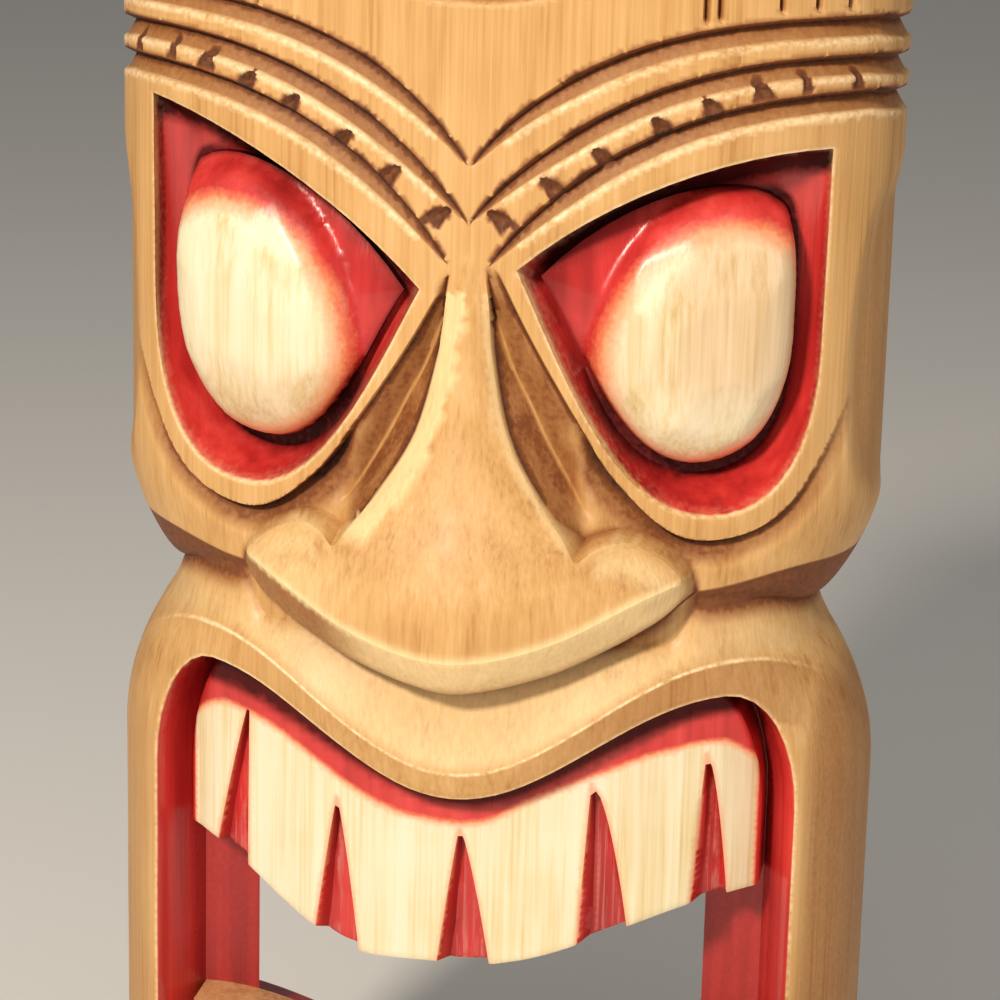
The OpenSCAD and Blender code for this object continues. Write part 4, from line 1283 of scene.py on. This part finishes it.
# Pins
# Four short dowels of plain beech, half in the floor of the mouth and half in the bars, which they hold.
# Beech is pale and matt, with short fibres along each pin.
pin_wood, tree = new_material("beech_dowel")
place = add(tree, "ShaderNodeTexCoord", output="Object")
drawn = add(tree, "ShaderNodeMapping", {
    "Vector": place, "Scale": (per_metre(0.8333), per_metre(16.667), per_metre(0.8333))})
fibre = add(tree, "ShaderNodeTexNoise", {"Vector": drawn, "Scale": 1, "Detail": 3}, "Fac")
beech = add(tree, "ShaderNodeValToRGB", {0: fibre}, stops=((0.35, "#b98a58"), (0.65, "#dcb786")))
surface = add(tree, "ShaderNodeBsdfPrincipled", {"Base Color": beech, "IOR": 1.5, "Roughness": 0.6})
add(tree, "ShaderNodeOutputMaterial", {0: surface})
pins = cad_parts["teeth_pins"]
pins.data.materials.clear()
pins.data.materials.append(pin_wood)

# Hanger
# A strap of zinc-plated sheet steel, rolled to an eye at its top, and the wire ring that swings in the eye.
# The strap lies on the floor of the recess in the back. The plating is a cloudy, half bright grey.
zinc, tree = new_material("zinc_plated_steel")
place = add(tree, "ShaderNodeTexCoord", output="Object")
spangle = add(tree, "ShaderNodeTexNoise", {"Vector": place, "Scale": per_metre(2.381), "Detail": 3}, "Fac")
plate = add(tree, "ShaderNodeValToRGB", {0: spangle}, stops=((0.35, "#8f9092"), (0.65, "#c3c5c6")))
sheen = add(tree, "ShaderNodeMath", {0: spangle, 1: 0.25, 2: 0.22}, operation="MULTIPLY_ADD")
surface = add(tree, "ShaderNodeBsdfPrincipled", {"Base Color": plate, "Roughness": sheen, "Metallic": 1})
add(tree, "ShaderNodeOutputMaterial", {0: surface})
for node in ("hanger_strap", "hanger_ring"):
    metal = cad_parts[node]
    metal.data.materials.clear()
    metal.data.materials.append(zinc)

# Hanger screws
# Two slotted round-head wood screws of the same plated steel. They go through the strap, one above the
# other, into the floor of the recess.
strap_t = 1
past_head = 10
slot_block_h = 4
screw_sizes = {
    "Head radius": 3, "Head height": 1.8, "Slot width": 0.8, "Slot depth": 0.9, "Shank radius": 1.5,
    "Shank length": 11, "Point length": 3, "Spacing": 8.5, "Upper screw height": hanger_z - 7}
screw_tree = bpy.data.node_groups.new("slotted_screws", "GeometryNodeTree")
sockets = {
    name: screw_tree.interface.new_socket(name, in_out="INPUT", socket_type="NodeSocketFloat")
    for name in screw_sizes}
screw_tree.interface.new_socket("Screws", in_out="OUTPUT", socket_type="NodeSocketGeometry")
given = screw_tree.nodes.new("NodeGroupInput").outputs


def along_axis(shape, height, turn=(0, 0, 0)):
    """Moves a shape along the axis of the screw, after turning it"""
    place = add(screw_tree, "ShaderNodeCombineXYZ", {2: height})
    return add(screw_tree, "GeometryNodeTransform", {
        "Geometry": shape, "Translation": place, "Rotation": turn})


# A half egg with a flat base and a slot, a round shank and a blunt point, all along one axis
ball = add(screw_tree, "GeometryNodeMeshUVSphere", {"Segments": 32, "Rings": 16, "Radius": 1})
head_size = add(screw_tree, "ShaderNodeCombineXYZ", {
    0: given["Head radius"], 1: given["Head radius"], 2: given["Head height"]})
ball = add(screw_tree, "GeometryNodeTransform", {"Geometry": ball, "Scale": head_size})
base = add(screw_tree, "GeometryNodeMeshCube", {"Size": (past_head, past_head, past_head)})
base = along_axis(base, -past_head / 2)
slot_size = add(screw_tree, "ShaderNodeCombineXYZ", {0: past_head, 1: given["Slot width"], 2: slot_block_h})
slot = add(screw_tree, "GeometryNodeMeshCube", {"Size": slot_size})
slot_z = weighed(screw_tree, slot_block_h / 2, (given["Head height"], 1), (given["Slot depth"], -1))
slot = along_axis(slot, slot_z)
head = add(screw_tree, "GeometryNodeMeshBoolean", {
    "Mesh 1": ball, "Mesh 2": (base, slot)}, operation="DIFFERENCE", solver="EXACT")
shank = add(screw_tree, "GeometryNodeMeshCylinder", {
    "Vertices": 24, "Radius": given["Shank radius"], "Depth": given["Shank length"]})
middle = add(screw_tree, "ShaderNodeMath", {0: given["Shank length"], 1: -0.5}, operation="MULTIPLY")
shank = along_axis(shank, middle)
point = add(screw_tree, "GeometryNodeMeshCone", {
    "Vertices": 24, "Radius Top": 0.6, "Radius Bottom": given["Shank radius"],
    "Depth": given["Point length"]})
lower = add(screw_tree, "ShaderNodeMath", {0: given["Shank length"], 1: -1}, operation="MULTIPLY")
point = along_axis(point, lower, (math.pi, 0, 0))
screw = add(screw_tree, "GeometryNodeJoinGeometry", {"Geometry": (head, shank, point)})

# One screw at each of two places, turned to point into the wood
first_spot = add(screw_tree, "ShaderNodeCombineXYZ", {
    1: back_y - recess_depth + strap_t, 2: given["Upper screw height"]})
spread = add(screw_tree, "ShaderNodeMath", {0: given["Spacing"], 1: -1}, operation="MULTIPLY")
spread = add(screw_tree, "ShaderNodeCombineXYZ", {2: spread})
spots = add(screw_tree, "GeometryNodeMeshLine", {
    "Count": 2, "Start Location": first_spot, "Offset": spread})
turned = add(screw_tree, "GeometryNodeInstanceOnPoints", {
    "Points": spots, "Instance": screw, "Rotation": (-math.pi / 2, 0, 0)})
solid = add(screw_tree, "GeometryNodeRealizeInstances", {"Geometry": turned})
solid = add(screw_tree, "GeometryNodeTransform", {"Geometry": solid, "Scale": (0.001, 0.001, 0.001)})
solid = add(screw_tree, "GeometryNodeSetMaterial", {"Geometry": solid, "Material": zinc})
add(screw_tree, "NodeGroupOutput", {0: solid})
screws = bpy.data.objects.new("slotted_screws", bpy.data.meshes.new("screw_seed"))
bpy.context.scene.collection.objects.link(screws)
turning = screws.modifiers.new("slotted_screws", "NODES")
turning.node_group = screw_tree
for name, size in screw_sizes.items():
    turning[sockets[name].identifier] = float(size)
final = bpy.data.meshes.new_from_object(screws.evaluated_get(bpy.context.evaluated_depsgraph_get()))
screws.modifiers.clear()
screws.data = final
final.materials.clear()
final.materials.append(zinc)
final.shade_smooth()
final.set_sharp_from_angle(angle=math.radians(40))
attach(screws, "mask")
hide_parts("hanger_screws")

# Studio
# A plain pale floor, a soft light from the upper left, weak broad ones from the right and above, and the
# camera. Sizes are in metres.
floor_half = 9
face_middle = (0, 0, 0.26)
floor_mesh = bpy.data.meshes.new("studio_floor")
floor_corners = [(floor_half * a, floor_half * b, 0) for a, b in ((-1, -1), (1, -1), (1, 1), (-1, 1))]
floor_mesh.from_pydata(floor_corners, [], [(0, 1, 2, 3)])
floor = bpy.data.objects.new("studio_floor", floor_mesh)
bpy.context.scene.collection.objects.link(floor)
paper, tree = new_material("matt_paper")
surface = add(tree, "ShaderNodeBsdfPrincipled", {"Base Color": colour("#eceae6"), "Roughness": 0.9})
add(tree, "ShaderNodeOutputMaterial", {0: surface})
floor_mesh.materials.append(paper)

world = bpy.data.worlds.new("soft_room")
bpy.context.scene.world = world
world.use_nodes = True
world.node_tree.nodes["Background"].inputs["Color"].default_value = colour("#f4f2ee")
world.node_tree.nodes["Background"].inputs["Strength"].default_value = 0.2


def soft_light(name, place, size, power, tint):
    lamp = bpy.data.lights.new(name, "AREA")
    lamp.shape = "DISK"
    lamp.size = size
    lamp.energy = power
    lamp.color = colour(tint)[:3]
    held = bpy.data.objects.new(name, lamp)
    held.location = place
    held.rotation_euler = (Vector(face_middle) - Vector(place)).to_track_quat("-Z", "Y").to_euler()
    bpy.context.scene.collection.objects.link(held)


soft_light("key_light", (-0.5, -1.78, 1.44), size=0.28, power=46, tint="#fff3e2")
soft_light("side_light", (1.77, -0.83, 0.68), size=0.8, power=6, tint="#fff6ea")
soft_light("top_light", (0, -0.55, 1.4), size=1.2, power=5, tint="#fff8f0")

# The camera stands to the right of the mask and above it, and is rolled a little
swing, tilt, roll = math.radians(9.5), math.radians(15), math.radians(-1.4)
camera_far = 0.9
camera_aim = Vector((0.0058, 0.005, 0.255))
away = Vector((math.sin(swing) * math.cos(tilt), -math.cos(swing) * math.cos(tilt), math.sin(tilt)))
across = Vector((math.cos(swing), math.sin(swing), 0))
upright = away.cross(across)
lens_right = across * math.cos(roll) - upright * math.sin(roll)
lens_up = across * math.sin(roll) + upright * math.cos(roll)
eye_point = camera_aim + away * camera_far
picture = bpy.data.cameras.new("picture_camera")
picture.sensor_width = 36
picture.lens = 116.9
camera = bpy.data.objects.new("picture_camera", picture)
camera.matrix_world = Matrix((
    (lens_right.x, lens_up.x, away.x, eye_point.x),
    (lens_right.y, lens_up.y, away.y, eye_point.y),
    (lens_right.z, lens_up.z, away.z, eye_point.z),
    (0, 0, 0, 1)))
bpy.context.scene.collection.objects.link(camera)
bpy.context.scene.camera = camera
bpy.context.scene.view_settings.view_transform = "Standard"
